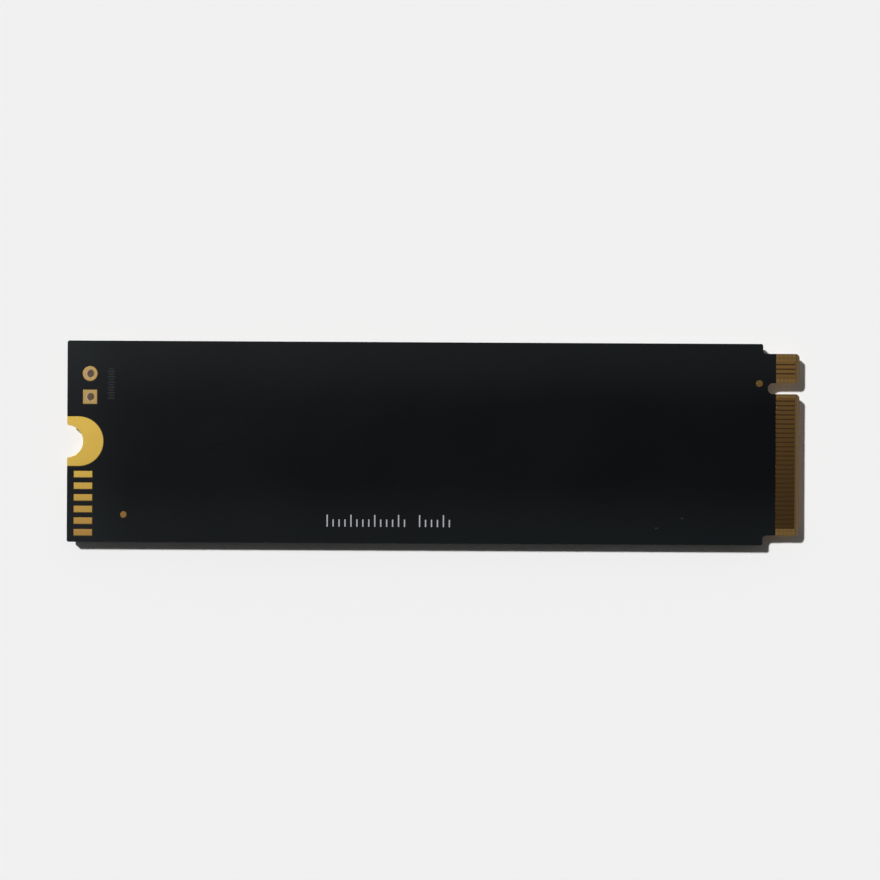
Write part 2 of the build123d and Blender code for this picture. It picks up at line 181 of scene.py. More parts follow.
sheen_to_end = add_node(tree, "ShaderNodeMapRange", {
    "Value": across.outputs["X"], "From Min": -SHEEN_FROM_END * MM, "From Max": -CARD_END * MM,
    "To Min": 0.0, "To Max": 1.0}, interpolation_type="SMOOTHSTEP")
sheen_share = add_node(tree, "ShaderNodeMath", {0: sheen_to_sides.outputs["Result"],
                                         1: sheen_to_end.outputs["Result"]}, operation="ADD")
skin = add_node(tree, "ShaderNodeMix", {"Factor": sheen_share.outputs["Value"],
                                        FIRST_COLOUR: tone.outputs[MIXED_COLOUR],
                                        SECOND_COLOUR: linear("#121517")}, data_type="RGBA",
                clamp_factor=False, name="bare board tone")
satin = add_node(tree, "ShaderNodeMapRange", {"Value": cloud.outputs["Fac"],
                                              "To Min": 0.190, "To Max": 0.222})
ripple = add_node(tree, "ShaderNodeBump", {"Height": peel.outputs["Fac"],
                                           "Distance": PEEL_DEPTH * MM})
fill_inputs(shader, {"Base Color": skin.outputs[MIXED_COLOUR], "Roughness": satin.outputs["Result"],
                     "Normal": ripple.outputs["Normal"], "IOR": 1.5})
print("made", black_mask.name)

# %% [markdown]
# ## Immersion gold
# The notch land, the holes, the test pads and the dots are copper with a skin of nickel
# and a very thin one of gold, laid down in a bath. The bath leaves it satin: the nickel
# grows in tiny domes. A metal has no colour of its own below its reflection, so metallic
# is 1 and the base colour is gold's tint. The domes are about 5 microns wide, too fine to
# see, so they are drawn twenty times as coarse, just enough to break the shine. On the
# drilled walls of the holes and the notch the bath lies over torn glass: the object's
# own normal finds those upright faces, and they turn rough and are painted dark brown, a
# painted shade for the inside of a hole. Towards the card's low side the pads are painted
# browner, a painted shade for their dimmer reflection there. The two alignment dots have
# gone dull, and so has the gold round the holes, which shows its nickel: both get a copy.
# The holes' copy gives its walls a copper tint in place of the painted shade.

# %% Immersion gold
DOME_WIDTH = 0.10
DOME_DEPTH = 0.0005
STAIN_WIDTH = 2.5
SHADE_FROM, SHADE_TO = -3.0, -10.0
WALL_ROUGHNESS = 0.6
bath_gold, tree, shader, place = new_material("immersion_gold")
domes = add_node(tree, "ShaderNodeTexNoise", {"Vector": place.outputs["Object"],
                                              "Scale": grains(DOME_WIDTH), "Detail": 2.0})
stain = add_node(tree, "ShaderNodeTexNoise", {"Vector": place.outputs["Object"],
                                              "Scale": grains(STAIN_WIDTH), "Detail": 4.0})
tint = add_node(tree, "ShaderNodeMix", {"Factor": stain.outputs["Fac"],
                                        FIRST_COLOUR: linear("#F7D263"),
                                        SECOND_COLOUR: linear("#EDC259")}, data_type="RGBA",
                name="tint")
spot = add_node(tree, "ShaderNodeSeparateXYZ", {"Vector": place.outputs["Object"]})
# Painted shade: the gold turns browner towards the card's low side, standing in for its dimmer
# reflection there.
low_side_shade = add_node(tree, "ShaderNodeMapRange", {
    "Value": spot.outputs["Y"], "From Min": SHADE_FROM * MM, "From Max": SHADE_TO * MM,
    "To Min": 0.0, "To Max": 1.0})
gold_with_low_shade = add_node(tree, "ShaderNodeMix", {"Factor": low_side_shade.outputs["Result"],
                                           FIRST_COLOUR: tint.outputs[MIXED_COLOUR],
                                           SECOND_COLOUR: linear("#D4A458")}, data_type="RGBA",
                   name="handled tint")
sheen = add_node(tree, "ShaderNodeMapRange", {"Value": domes.outputs["Fac"],
                                              "To Min": 0.312, "To Max": 0.342})
bumps = add_node(tree, "ShaderNodeBump", {"Height": domes.outputs["Fac"],
                                          "Distance": DOME_DEPTH * MM})
tilt = add_node(tree, "ShaderNodeSeparateXYZ", {"Vector": place.outputs["Normal"]})
level = add_node(tree, "ShaderNodeMath", {0: tilt.outputs["Z"]}, operation="ABSOLUTE")
drilled = add_node(tree, "ShaderNodeMapRange", {"Value": level.outputs["Value"], "From Min": 0.6,
                                                "From Max": 0.2, "To Min": 0.0, "To Max": 1.0})
# Painted shade: upright walls get a dark brown that stands in for shade inside the holes and the notch.
wall_shaded = add_node(tree, "ShaderNodeMix", {"Factor": drilled.outputs["Result"],
                                        FIRST_COLOUR: gold_with_low_shade.outputs[MIXED_COLOUR],
                                        SECOND_COLOUR: linear("#6A4522")}, data_type="RGBA",
                name="wall tint")
wall = add_node(tree, "ShaderNodeMath", {0: drilled.outputs["Result"], 1: WALL_ROUGHNESS},
                operation="MULTIPLY", name="wall roughness")
finish = add_node(tree, "ShaderNodeMath", {0: sheen.outputs["Result"], 1: wall.outputs["Value"]},
                  operation="MAXIMUM")
fill_inputs(shader, {"Base Color": wall_shaded.outputs[MIXED_COLOUR], "Roughness": finish.outputs["Value"],
                     "Normal": bumps.outputs["Normal"], "Metallic": 1.0})
print("made", bath_gold.name)

# %% Duller copies for the dots and the holes
HOLE_ROUGHNESS = 0.3
dull_gold = retinted(bath_gold, "dulled_immersion_gold", {
    "tint": ("#BE9558", "#A97F48"), "handled tint": ("#BE9558", "#A97F48")})
# The holes' copy paints its walls copper in place of the painted wall shade.
hole_gold = retinted(bath_gold, "worn_gold_over_nickel", {
    "tint": ("#CFAE70", "#BC9D62"), "wall tint": ("#CFAE70", "#DDA982")})
hole_gold.node_tree.nodes["wall roughness"].inputs[1].default_value = HOLE_ROUGHNESS
print("made", dull_gold.name, "and", hole_gold.name)

# %% [markdown]
# ## Hard gold
# The contacts are plated again with harder gold, because they are rubbed each time the
# card is pushed in. That polishes them along the card, so the pattern here is stretched:
# a Mapping node squeezes X, and the noise turns into fine streaks that run with X. A card
# goes in a little askew, so the low end of the row is rubbed smoothest, and the contacts
# beyond the key slot least: their roughness rises with the square of the distance. Real
# scratches are a few microns wide, so the streaks are drawn about ten times as coarse.

# %% Hard gold
STREAK_WIDTH, STREAK_DEPTH = 0.06, 0.0004
STREAK_STRETCH = 0.04
RUBBED_MOST, RUBBED_LEAST = -9.0, 8.0
UNRUBBED_ROUGHNESS = 0.08
hard_gold, tree, shader, place = new_material("hard_gold_contacts")
drawn = add_node(tree, "ShaderNodeMapping", {"Vector": place.outputs["Object"],
                                             "Scale": (STREAK_STRETCH, 1.0, 1.0)})
streaks = add_node(tree, "ShaderNodeTexNoise", {"Vector": drawn.outputs["Vector"],
                                                "Scale": grains(STREAK_WIDTH), "Detail": 3.0})
tint = add_node(tree, "ShaderNodeMix", {"Factor": streaks.outputs["Fac"],
                                        FIRST_COLOUR: linear("#F0BC71"),
                                        SECOND_COLOUR: linear("#E2A85E")}, data_type="RGBA")
polish = add_node(tree, "ShaderNodeMapRange", {"Value": streaks.outputs["Fac"],
                                               "To Min": 0.18, "To Max": 0.22})
spot = add_node(tree, "ShaderNodeSeparateXYZ", {"Vector": place.outputs["Object"]})
unrubbed = add_node(tree, "ShaderNodeMapRange", {
    "Value": spot.outputs["Y"], "From Min": RUBBED_MOST * MM, "From Max": RUBBED_LEAST * MM,
    "To Min": 0.0, "To Max": 1.0})
steeper = add_node(tree, "ShaderNodeMath", {0: unrubbed.outputs["Result"], 1: 2.0},
                   operation="POWER")
worn = add_node(tree, "ShaderNodeMath", {0: steeper.outputs["Value"], 1: UNRUBBED_ROUGHNESS,
                                         2: polish.outputs["Result"]}, operation="MULTIPLY_ADD")
rubbed = add_node(tree, "ShaderNodeBump", {"Height": streaks.outputs["Fac"],
                                           "Distance": STREAK_DEPTH * MM})
fill_inputs(shader, {"Base Color": tint.outputs[MIXED_COLOUR], "Roughness": worn.outputs["Value"],
                     "Normal": rubbed.outputs["Normal"], "Metallic": 1.0})
print("made", hard_gold.name)

# %% [markdown]
# ## Glass and resin laminate
# Under the mask the board is glass cloth in epoxy. It shows in two ways: on the tongue,
# between the contacts, its face is smooth brown resin with the cloth just under it, and
# on routed or bevelled edges the cut cloth is dry and pale, in layers. One material does
# both: the object's own normal says whether a face is level, and mixes the two looks.
# The cloth's threads are 0.45 mm apart, and its layers are 0.12 mm thick. Between the
# contacts the resin looks darker, since little light finds its way into gaps so narrow.

# %% Where the contacts lie
row_low, row_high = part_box("edge_contacts_back")
row_middle, row_half = (row_low + row_high) / 2, (row_high - row_low) / 2
back_count = contact_count("back")
places = [(i - (back_count - 1) / 2) * CONTACT_PITCH for i in range(back_count)]
key_low = max(y for y in places if y < KEY_PLACE - KEY_CLEAR) + CONTACT_WIDTH / 2
key_high = min(y for y in places if y > KEY_PLACE + KEY_CLEAR) - CONTACT_WIDTH / 2
print("no contacts from", round(key_low, 3), "to", round(key_high, 3), "mm")

# %% Laminate: cloth under resin, and cut layers
THREAD_SPACING = 0.45
LAYER_SPACING = 0.12
laminate, tree, shader, place = new_material("glass_resin_laminate")
tilt = add_node(tree, "ShaderNodeSeparateXYZ", {"Vector": place.outputs["Normal"]})
upright = add_node(tree, "ShaderNodeMath", {0: tilt.outputs["Z"]}, operation="ABSOLUTE")
cut = add_node(tree, "ShaderNodeMapRange", {"Value": upright.outputs["Value"], "From Min": 0.99,
                                            "From Max": 0.95, "To Min": 0.0, "To Max": 1.0})
warp = add_node(tree, "ShaderNodeTexWave", {"Vector": place.outputs["Object"], "Distortion": 0.6,
                                            "Scale": bands(THREAD_SPACING)}, bands_direction="X")
weft = add_node(tree, "ShaderNodeTexWave", {"Vector": place.outputs["Object"], "Distortion": 0.6,
                                            "Scale": bands(THREAD_SPACING)}, bands_direction="Y")
cloth = add_node(tree, "ShaderNodeMath", {0: warp.outputs["Fac"], 1: weft.outputs["Fac"]},
                 operation="MULTIPLY")
layers = add_node(tree, "ShaderNodeTexWave", {"Vector": place.outputs["Object"], "Distortion": 1.5,
                                              "Detail": 3.0, "Scale": bands(LAYER_SPACING)},
                  bands_direction="Z")
resin = add_node(tree, "ShaderNodeMix", {"Factor": cloth.outputs["Value"],
                                         FIRST_COLOUR: linear("#614923"),
                                         SECOND_COLOUR: linear("#775C2F")}, data_type="RGBA")
dry = add_node(tree, "ShaderNodeMix", {"Factor": layers.outputs["Fac"],
                                       FIRST_COLOUR: linear("#523F24"),
                                       SECOND_COLOUR: linear("#6A5431")}, data_type="RGBA")
print("threads", THREAD_SPACING, "mm apart, layers", LAYER_SPACING, "mm thick")

# %% Laminate: darker between the contacts
spot = add_node(tree, "ShaderNodeSeparateXYZ", {"Vector": place.outputs["Object"]})
along = add_node(tree, "ShaderNodeMath", {0: spot.outputs["X"], 1: row_middle.x, 2: row_half.x},
                 operation="COMPARE")
across = add_node(tree, "ShaderNodeMath", {0: spot.outputs["Y"], 1: row_middle.y, 2: row_half.y},
                  operation="COMPARE")
by_key = add_node(tree, "ShaderNodeMath", {0: spot.outputs["Y"], 1: (key_low + key_high) / 2 * MM,
                                           2: (key_high - key_low) / 2 * MM},
                  operation="COMPARE")
in_row = add_node(tree, "ShaderNodeMath", {0: across.outputs["Value"], 1: by_key.outputs["Value"]},
                  operation="SUBTRACT")
between = add_node(tree, "ShaderNodeMath", {0: along.outputs["Value"], 1: in_row.outputs["Value"]},
                   operation="MULTIPLY")
sunk = add_node(tree, "ShaderNodeMix", {"Factor": between.outputs["Value"],
                                        FIRST_COLOUR: resin.outputs[MIXED_COLOUR],
                                        SECOND_COLOUR: linear("#31210D")}, data_type="RGBA")
print("row centred at", round(row_middle.x / MM, 3), "mm along the card")

# %% Laminate: one material for both looks
FIBRE_DEPTH = 0.004
board = add_node(tree, "ShaderNodeMix", {"Factor": cut.outputs["Result"],
                                         FIRST_COLOUR: sunk.outputs[MIXED_COLOUR],
                                         SECOND_COLOUR: dry.outputs[MIXED_COLOUR]}, data_type="RGBA")
gloss = add_node(tree, "ShaderNodeMapRange", {"Value": cut.outputs["Result"],
                                              "To Min": 0.30, "To Max": 0.82})
fibres = add_node(tree, "ShaderNodeBump", {"Height": layers.outputs["Fac"],
                                           "Distance": FIBRE_DEPTH * MM})
fill_inputs(shader, {"Base Color": board.outputs[MIXED_COLOUR], "Roughness": gloss.outputs["Result"],
                     "Normal": fibres.outputs["Normal"], "IOR": 1.54})
print("made", laminate.name)

# %% [markdown]
# ## Legend ink
# The pale print is a matt epoxy ink pushed through a screen. Over black it is never quite
# white, because the coat is thin: it looks grey, and a little cloudy where the screen's
# mesh let less ink through. Ink, solder, tin and fired ceramic each have one grain, which
# shifts their tone, their roughness and their relief together. A painted picture could
# carry it, but a noise of the right size stays sharp at any distance, so one function
# makes such a finish from its grain, and each finish only says how it differs.

# %% Finishes with one grain
def grained(name, tones, grain, depth, roughness, detail=3.0, **fixed):
    """A material whose tone, sheen and relief follow one grain, sized in millimetres."""
    material, tree, shader, place = new_material(name)
    pattern = add_node(tree, "ShaderNodeTexNoise", {"Vector": place.outputs["Object"],
                                                    "Scale": grains(grain), "Detail": detail})
    tone = add_node(tree, "ShaderNodeMix", {"Factor": pattern.outputs["Fac"],
                                            FIRST_COLOUR: linear(tones[0]),
                                            SECOND_COLOUR: linear(tones[1])}, data_type="RGBA")
    relief = add_node(tree, "ShaderNodeBump", {"Height": pattern.outputs["Fac"],
                                               "Distance": depth * MM})
    if isinstance(roughness, tuple):
        sheen = add_node(tree, "ShaderNodeMapRange", {"Value": pattern.outputs["Fac"],
                                                      "To Min": roughness[0], "To Max": roughness[1]})
        roughness = sheen.outputs["Result"]
    fill_inputs(shader, {"Base Color": tone.outputs[MIXED_COLOUR], "Roughness": roughness,
                         "Normal": relief.outputs["Normal"], **fixed})
    return material


print("a grain of 0.1 mm is a noise scale of", round(grains(0.1)))

# %% Legend ink
SCREEN_MESH, COAT_RELIEF = 0.15, 0.002
legend_ink = grained("screened_epoxy_ink", ("#8E8F95", "#B6B7BD"), SCREEN_MESH, COAT_RELIEF,
                     0.62, IOR=1.5)
print("made", legend_ink.name)

# %% [markdown]
# ## Solder and tin
# Reflowed solder froze from a liquid, so it is bright and smooth with a faint frosting.
# The parts' own ends and leads are tin that was plated cold, so they are grey and matt.
# Both are metals, and a second colour would not tell them apart: roughness and grain do.
# The tin's crystals are some five microns wide, too fine to show, so they are drawn ten
# times as coarse.

# %% Reflowed solder and matt tin
FROST_WIDTH, FROST_DEPTH = 0.12, 0.003
CRYSTAL_WIDTH, CRYSTAL_DEPTH = 0.05, 0.002
reflowed = grained("reflowed_solder", ("#C9CACC", "#E4E4E3"), FROST_WIDTH, FROST_DEPTH,
                   (0.16, 0.36), detail=4.0, Metallic=1.0)
matt_tin = grained("matt_plated_tin", ("#BDBCB8", "#DAD9D5"), CRYSTAL_WIDTH, CRYSTAL_DEPTH,
                   (0.40, 0.55), Metallic=1.0)
print("made", reflowed.name, "and", matt_tin.name)

# %% [markdown]
# ## Package materials
# A ball package is a thin green-black circuit board, sawn from a sheet, with a block of
# black moulding compound on it. The compound is epoxy full of silica powder, so it is
# matt, very slightly speckled, and carries the fine spark-eroded grain of its mould. The
# saw leaves fine level lines round the green board's edge. The silica grains are under
# 0.05 mm, too fine to show, so the specks are drawn three times as coarse.

# %% Moulding compound
MOULD_GRAIN, MOULD_DEPTH = 0.07, 0.006
FILLER_WIDTH = 0.16
compound, tree, shader, place = new_material("epoxy_moulding_compound")
sparks = add_node(tree, "ShaderNodeTexNoise", {"Vector": place.outputs["Object"],
                                               "Scale": grains(MOULD_GRAIN), "Detail": 2.0})
filler = add_node(tree, "ShaderNodeTexVoronoi", {"Vector": place.outputs["Object"],
                                                 "Scale": grains(FILLER_WIDTH)})
speck = add_node(tree, "ShaderNodeMapRange", {"Value": filler.outputs["Distance"],
                                              "From Min": 0.05, "From Max": 0.22,
                                              "To Min": 1.0, "To Max": 0.0})
soot = add_node(tree, "ShaderNodeMix", {"Factor": speck.outputs["Result"],
                                        FIRST_COLOUR: linear("#1C1D1F"),
                                        SECOND_COLOUR: linear("#2C2D2F")}, data_type="RGBA")
mat = add_node(tree, "ShaderNodeMapRange", {"Value": sparks.outputs["Fac"],
                                            "To Min": 0.48, "To Max": 0.66})
eroded = add_node(tree, "ShaderNodeBump", {"Height": sparks.outputs["Fac"],
                                           "Distance": MOULD_DEPTH * MM})
fill_inputs(shader, {"Base Color": soot.outputs[MIXED_COLOUR], "Roughness": mat.outputs["Result"],
                     "Normal": eroded.outputs["Normal"], "IOR": 1.52})
print("made", compound.name)

# %% Package substrate
SAW_SPACING, SAW_DEPTH = 0.05, 0.004
substrate, tree, shader, place = new_material("sawn_package_substrate")
saw = add_node(tree, "ShaderNodeTexWave", {"Vector": place.outputs["Object"], "Distortion": 2.0,
                                           "Detail": 2.0, "Scale": bands(SAW_SPACING)},
               bands_direction="Z")
green = add_node(tree, "ShaderNodeMix", {"Factor": saw.outputs["Fac"],
                                         FIRST_COLOUR: linear("#22301C"),
                                         SECOND_COLOUR: linear("#4B5433")}, data_type="RGBA")
kerf = add_node(tree, "ShaderNodeBump", {"Height": saw.outputs["Fac"], "Distance": SAW_DEPTH * MM})
fill_inputs(shader, {"Base Color": green.outputs[MIXED_COLOUR], "Roughness": 0.55,
                     "Normal": kerf.outputs["Normal"], "IOR": 1.54})
print("made", substrate.name)

# %% [markdown]
# ## Pressed and fired parts
# Inductors are iron powder pressed with resin: dark grey, granular, with bright flecks
# where a grain was rubbed bare. Capacitors are tan fired ceramic, which differs a little
# from part to part. Resistors are white alumina with a black glaze over the film, the
# crystal sits in pale ceramic under a nickel lid, and the bead is dull fired ferrite.
# Fired grains are a few microns wide and a rolled sheet's lines not much more, too fine to
# show, so both are drawn coarser: the ceramics look dry, and the lid's shine is drawn out.

# %% Pressed iron powder
GRANULE_WIDTH, GRANULE_DEPTH = 0.11, 0.018
iron_powder, tree, shader, place = new_material("pressed_iron_powder")
granule = add_node(tree, "ShaderNodeTexVoronoi", {"Vector": place.outputs["Object"],
                                                  "Scale": grains(GRANULE_WIDTH)})
fleck = add_node(tree, "ShaderNodeMapRange", {"Value": granule.outputs["Distance"],
                                              "From Min": 0.06, "From Max": 0.16,
                                              "To Min": 1.0, "To Max": 0.0})
dust = add_node(tree, "ShaderNodeMix", {"Factor": fleck.outputs["Result"],
                                        FIRST_COLOUR: linear("#3B3C3E"),
                                        SECOND_COLOUR: linear("#77787A")}, data_type="RGBA")
packed = add_node(tree, "ShaderNodeBump", {"Height": granule.outputs["Distance"],
                                           "Distance": GRANULE_DEPTH * MM})
fill_inputs(shader, {"Base Color": dust.outputs[MIXED_COLOUR], "Roughness": 0.68,
                     "Normal": packed.outputs["Normal"]})
print("made", iron_powder.name)

# %% Fired capacitor ceramic
BATCH_WIDTH = 2.6
CLAY_GRAIN, CLAY_DEPTH = 0.08, 0.003
capacitor_clay, tree, shader, place = new_material("capacitor_ceramic")
batch = add_node(tree, "ShaderNodeTexNoise", {"Vector": place.outputs["Object"],
                                              "Scale": grains(BATCH_WIDTH), "Detail": 1.0})
fired = add_node(tree, "ShaderNodeTexNoise", {"Vector": place.outputs["Object"],
                                              "Scale": grains(CLAY_GRAIN), "Detail": 3.0})
tan = add_node(tree, "ShaderNodeMix", {"Factor": batch.outputs["Fac"],
                                       FIRST_COLOUR: linear("#7E6246"),
                                       SECOND_COLOUR: linear("#A98A68")}, data_type="RGBA")
biscuit = add_node(tree, "ShaderNodeMapRange", {"Value": fired.outputs["Fac"],
                                                "To Min": 0.38, "To Max": 0.55})
clay = add_node(tree, "ShaderNodeBump", {"Height": fired.outputs["Fac"],
                                         "Distance": CLAY_DEPTH * MM})
fill_inputs(shader, {"Base Color": tan.outputs[MIXED_COLOUR], "Roughness": biscuit.outputs["Result"],
                     "Normal": clay.outputs["Normal"], "IOR": 1.7})
print("made", capacitor_clay.name)

# %% White alumina, glaze, ferrite and crystal ceramic
# dark and light tone, grain width in millimetres, roughness and IOR
FIRED_FINISHES = {
    "white_alumina": ("#D9D7CF", "#E9E7E0", 0.07, 0.50, 1.76),
    "black_resistor_glaze": ("#121315", "#1A1B1E", 0.30, 0.22, 1.52),
    "fired_ferrite": ("#262628", "#343436", 0.09, 0.62, 1.60),
    "crystal_case_ceramic": ("#A99C86", "#C0B49E", 0.06, 0.48, 1.76),
}
DEPTH_PER_GRAIN = 0.02
fired_materials = {}
for name, (dark, light, grain, roughness, ior) in FIRED_FINISHES.items():
    fired_materials[name] = grained(name, (dark, light), grain, DEPTH_PER_GRAIN * grain,
                                    roughness, IOR=ior)
print("made", ", ".join(fired_materials))

# %% Nickel plated lid
LINE_WIDTH, LINE_DEPTH = 0.04, 0.0015
LINE_STRETCH = 0.05
nickel_lid, tree, shader, place = new_material("nickel_plated_lid")
drawn = add_node(tree, "ShaderNodeMapping", {"Vector": place.outputs["Object"],
                                             "Scale": (LINE_STRETCH, 1.0, 1.0)})
hairs = add_node(tree, "ShaderNodeTexNoise", {"Vector": drawn.outputs["Vector"],
                                              "Scale": grains(LINE_WIDTH), "Detail": 2.0})
rolled = add_node(tree, "ShaderNodeMapRange", {"Value": hairs.outputs["Fac"],
                                               "To Min": 0.24, "To Max": 0.40})
lines = add_node(tree, "ShaderNodeBump", {"Height": hairs.outputs["Fac"],
                                          "Distance": LINE_DEPTH * MM})
fill_inputs(shader, {"Base Color": linear("#D3CFC4"), "Roughness": rolled.outputs["Result"],
                     "Normal": lines.outputs["Normal"], "Metallic": 1.0})
print("made", nickel_lid.name)

# %% [markdown]
# ## Handing a piece over
# A finished piece is one plain mesh in one object at the origin. Modifiers do the shaping,
# then what they give is copied out with new_from_object and the modifiers go. Smooth
# shading with sharp edges by angle keeps flats flat and lets round things look round. A
# mesh that the Bevel modifier gave hardened normals already has them, and keeps them.
# Last, the piece rides on the card's one body, and the CAD node it stands for is hidden.

# %% Helpers that finish a piece
ROUND_SHAPE, FLAT_SHAPE = 38, 12


def new_piece(name, mesh):
    """An object at the origin that holds the mesh."""
    piece = bpy.data.objects.new(name, mesh)
    bpy.context.scene.collection.objects.link(piece)
    return piece


def finish_piece(piece, material, slot, *replaced, sharp=ROUND_SHAPE):
    """Copies out what the modifiers make and hands the piece to the frame."""
    graph = bpy.context.evaluated_depsgraph_get()
    mesh = bpy.data.meshes.new_from_object(piece.evaluated_get(graph))
    piece.modifiers.clear()
    piece.data = mesh
    mesh.name = piece.name
    mesh.materials.clear()
    mesh.materials.append(material)
    if not mesh.has_custom_normals:
        mesh.shade_smooth()
        mesh.set_sharp_from_angle(angle=math.radians(sharp))
    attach(piece, "root")
    if replaced:
        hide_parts(*replaced)
    print(piece.name, "has", len(mesh.polygons), "faces")
    return piece


# %% [markdown]
# ## Board and mask
# These two are right as the CAD drew them: flat sheets with exact openings. So they stay,
# and only get their finishes. A CAD object keeps its mesh, and its material slot is
# filled with ours.

# %% Dress the nodes that stay
STAYING = {
    "board_laminate": laminate,
    "solder_mask_back": black_mask,
    "solder_mask_front": black_mask,
}
for name, material in STAYING.items():
    for material_slot in nodes[name].material_slots:
        material_slot.material = material
print("dressed", ", ".join(STAYING))

# %% [markdown]
# ## Rounded edges
# Nothing that was moulded, plated or pressed has a knife edge. The eye notices, because a
# rounded edge catches a thin line of light. So most parts are replaced by a softened copy:
# the CAD triangles are joined into whole faces, then a Bevel modifier rounds each sharp
# edge by a real amount, such as 0.05 mm on a moulded package and 0.01 mm on plating.

# %% Helper that softens a CAD node
SAME_PLACE, SAME_PLANE, TRUE_EDGE = 0.0001, 1, 40


def whole_faces(node):
    """The CAD node's mesh with its loose triangles joined into whole faces."""
    work = bmesh.new()
    work.from_mesh(nodes[node].data)
    bmesh.ops.remove_doubles(work, verts=work.verts, dist=SAME_PLACE * MM)
    bmesh.ops.dissolve_limit(work, angle_limit=math.radians(SAME_PLANE),
                             verts=work.verts, edges=work.edges)
    work.verts.index_update()
    places = [vert.co.copy() for vert in work.verts]
    faces = [[vert.index for vert in face.verts] for face in work.faces]
    work.free()
    return places, faces


def softened(name, node, rounding, material, slot, segments=2):
    """A copy of a CAD node with its edges rounded by so many millimetres."""
    mesh = bpy.data.meshes.new(name)
    places, faces = whole_faces(node)
    mesh.from_pydata(places, [], faces)
    mesh.shade_smooth()
    piece = new_piece(name, mesh)
    edge = piece.modifiers.new("rounded edges", "BEVEL")
    edge.width = rounding * MM
    edge.segments = segments
    edge.limit_method = "ANGLE"
    edge.angle_limit = math.radians(TRUE_EDGE)
    edge.harden_normals = True
    return finish_piece(piece, material, slot, node)


print("edges of more than", TRUE_EDGE, "degrees will be rounded")

# %% Plating and print on the card
softened("notch_land_and_wall", "screw_notch_plating", 0.010, bath_gold, "gold")
softened("round_pad_hole", "header_hole_round", 0.012, hole_gold, "gold")
softened("square_pad_hole", "header_hole_square", 0.012, hole_gold, "gold")
softened("test_pad_row", "test_pads", 0.012, bath_gold, "gold")
softened("back_dots", "alignment_dots", 0.010, dull_gold, "gold")
softened("scale_strokes", "printed_scale", 0.006, legend_ink, "print")

# %% Packages and chips
flash_count = sum(name.startswith("flash_") and name.endswith("_body") for name in nodes)
ball_packages = [f"flash_{i + 1}" for i in range(flash_count)] + ["controller"]
for package in ball_packages:
    softened(f"{package}_cap", f"{package}_body", 0.05, compound, "mould_compound", 3)
    softened(f"{package}_board", f"{package}_substrate", 0.008, substrate, "substrate")
softened("power_chip_cap", "power_chip_body", 0.03, compound, "mould_compound", 3)
softened("power_chip_feet", "power_chip_leads", 0.010, matt_tin, "tin")
softened("power_chip_pad", "power_chip_slug", 0.010, matt_tin, "tin")
softened("load_switch_cap", "load_switch_body", 0.06, compound, "mould_compound", 3)
softened("load_switch_legs", "load_switch_leads", 0.035, matt_tin, "tin", 3)

# %% Inductors, crystal and chip parts
inductor_count = sum(name.startswith("inductor_") and name.endswith("_body") for name in nodes)
for i in range(inductor_count):
    softened(f"coil_{i + 1}_block", f"inductor_{i + 1}_body", 0.05, iron_powder, "inductor_core", 3)
    softened(f"coil_{i + 1}_clips", f"inductor_{i + 1}_terminals", 0.022, matt_tin, "tin")
softened("crystal_box", "crystal_case", 0.03, fired_materials["crystal_case_ceramic"], "crystal_ceramic")
softened("crystal_cover", "crystal_lid", 0.05, nickel_lid, "crystal_lid", 3)
CAP_EXTRA_ROUNDING = 0.015
CHIP_PARTS = {
    "small_capacitor": (capacitor_clay, "capacitor_ceramic", 0.03),
    "large_capacitor": (capacitor_clay, "capacitor_ceramic", 0.05),
    "resistor": (fired_materials["white_alumina"], "resistor_ceramic", 0.015),
    "ferrite_bead": (fired_materials["fired_ferrite"], "ferrite", 0.05),
}
for part, (material, slot, rounding) in CHIP_PARTS.items():
    softened(f"{part}_blocks", f"{part}_bodies", rounding, material, slot)
    softened(f"{part}_ends", f"{part}_caps", rounding + CAP_EXTRA_ROUNDING, matt_tin, "tin")

# %% [markdown]
# ## Geometry Nodes that repeat
# Solder balls, contacts, vias and fillets come by the hundred. Each kind gets one node
# tree: it places points by a rule, puts a copy of one shape on every point, makes the
# copies real and gives them their material. The sizes are the tree's named inputs, so one
# tree serves every package. A modifier knows an input by its identifier, not its name.
# Balls and vias both lie on a grid of points, so that part of a tree is a helper too.

# %% Helpers for node trees
def new_tree(name, inputs):
    """An empty Geometry Nodes tree with a geometry output and the named inputs."""
    tree = bpy.data.node_groups.new(name, "GeometryNodeTree")
    tree.interface.new_socket("Geometry", in_out="INPUT", socket_type="NodeSocketGeometry")
    tree.interface.new_socket("Geometry", in_out="OUTPUT", socket_type="NodeSocketGeometry")
    for label, kind in inputs.items():
        tree.interface.new_socket(label, in_out="INPUT", socket_type="NodeSocket" + kind)
    return tree, add_node(tree, "NodeGroupInput").outputs


def end_tree(tree, instances, finish):
    """Makes the copies real, gives them their material and ends the tree."""
    real = add_node(tree, "GeometryNodeRealizeInstances", {"Geometry": instances})
    dressed = add_node(tree, "GeometryNodeSetMaterial", {"Geometry": real.outputs["Geometry"],
                                                         "Material": finish})
    add_node(tree, "NodeGroupOutput", {"Geometry": dressed.outputs["Geometry"]})


def point_grid(tree, given, pitches):
    """Adds a grid of points from the inputs Columns, Rows and Centre, and two pitches."""
    spans = []
    for count, pitch in zip(("Columns", "Rows"), pitches):
        gaps = add_node(tree, "ShaderNodeMath", {0: given[count], 1: 1.0}, operation="SUBTRACT")
        span = add_node(tree, "ShaderNodeMath", {0: gaps.outputs[0], 1: given[pitch]},
                        operation="MULTIPLY")
        spans.append(span.outputs[0])
    sheet = add_node(tree, "GeometryNodeMeshGrid", {
        "Size X": spans[0], "Size Y": spans[1],
        "Vertices X": given["Columns"], "Vertices Y": given["Rows"]})
    seated = add_node(tree, "GeometryNodeTransform", {"Geometry": sheet.outputs["Mesh"],
                                                      "Translation": given["Centre"]})
    return seated.outputs["Geometry"]


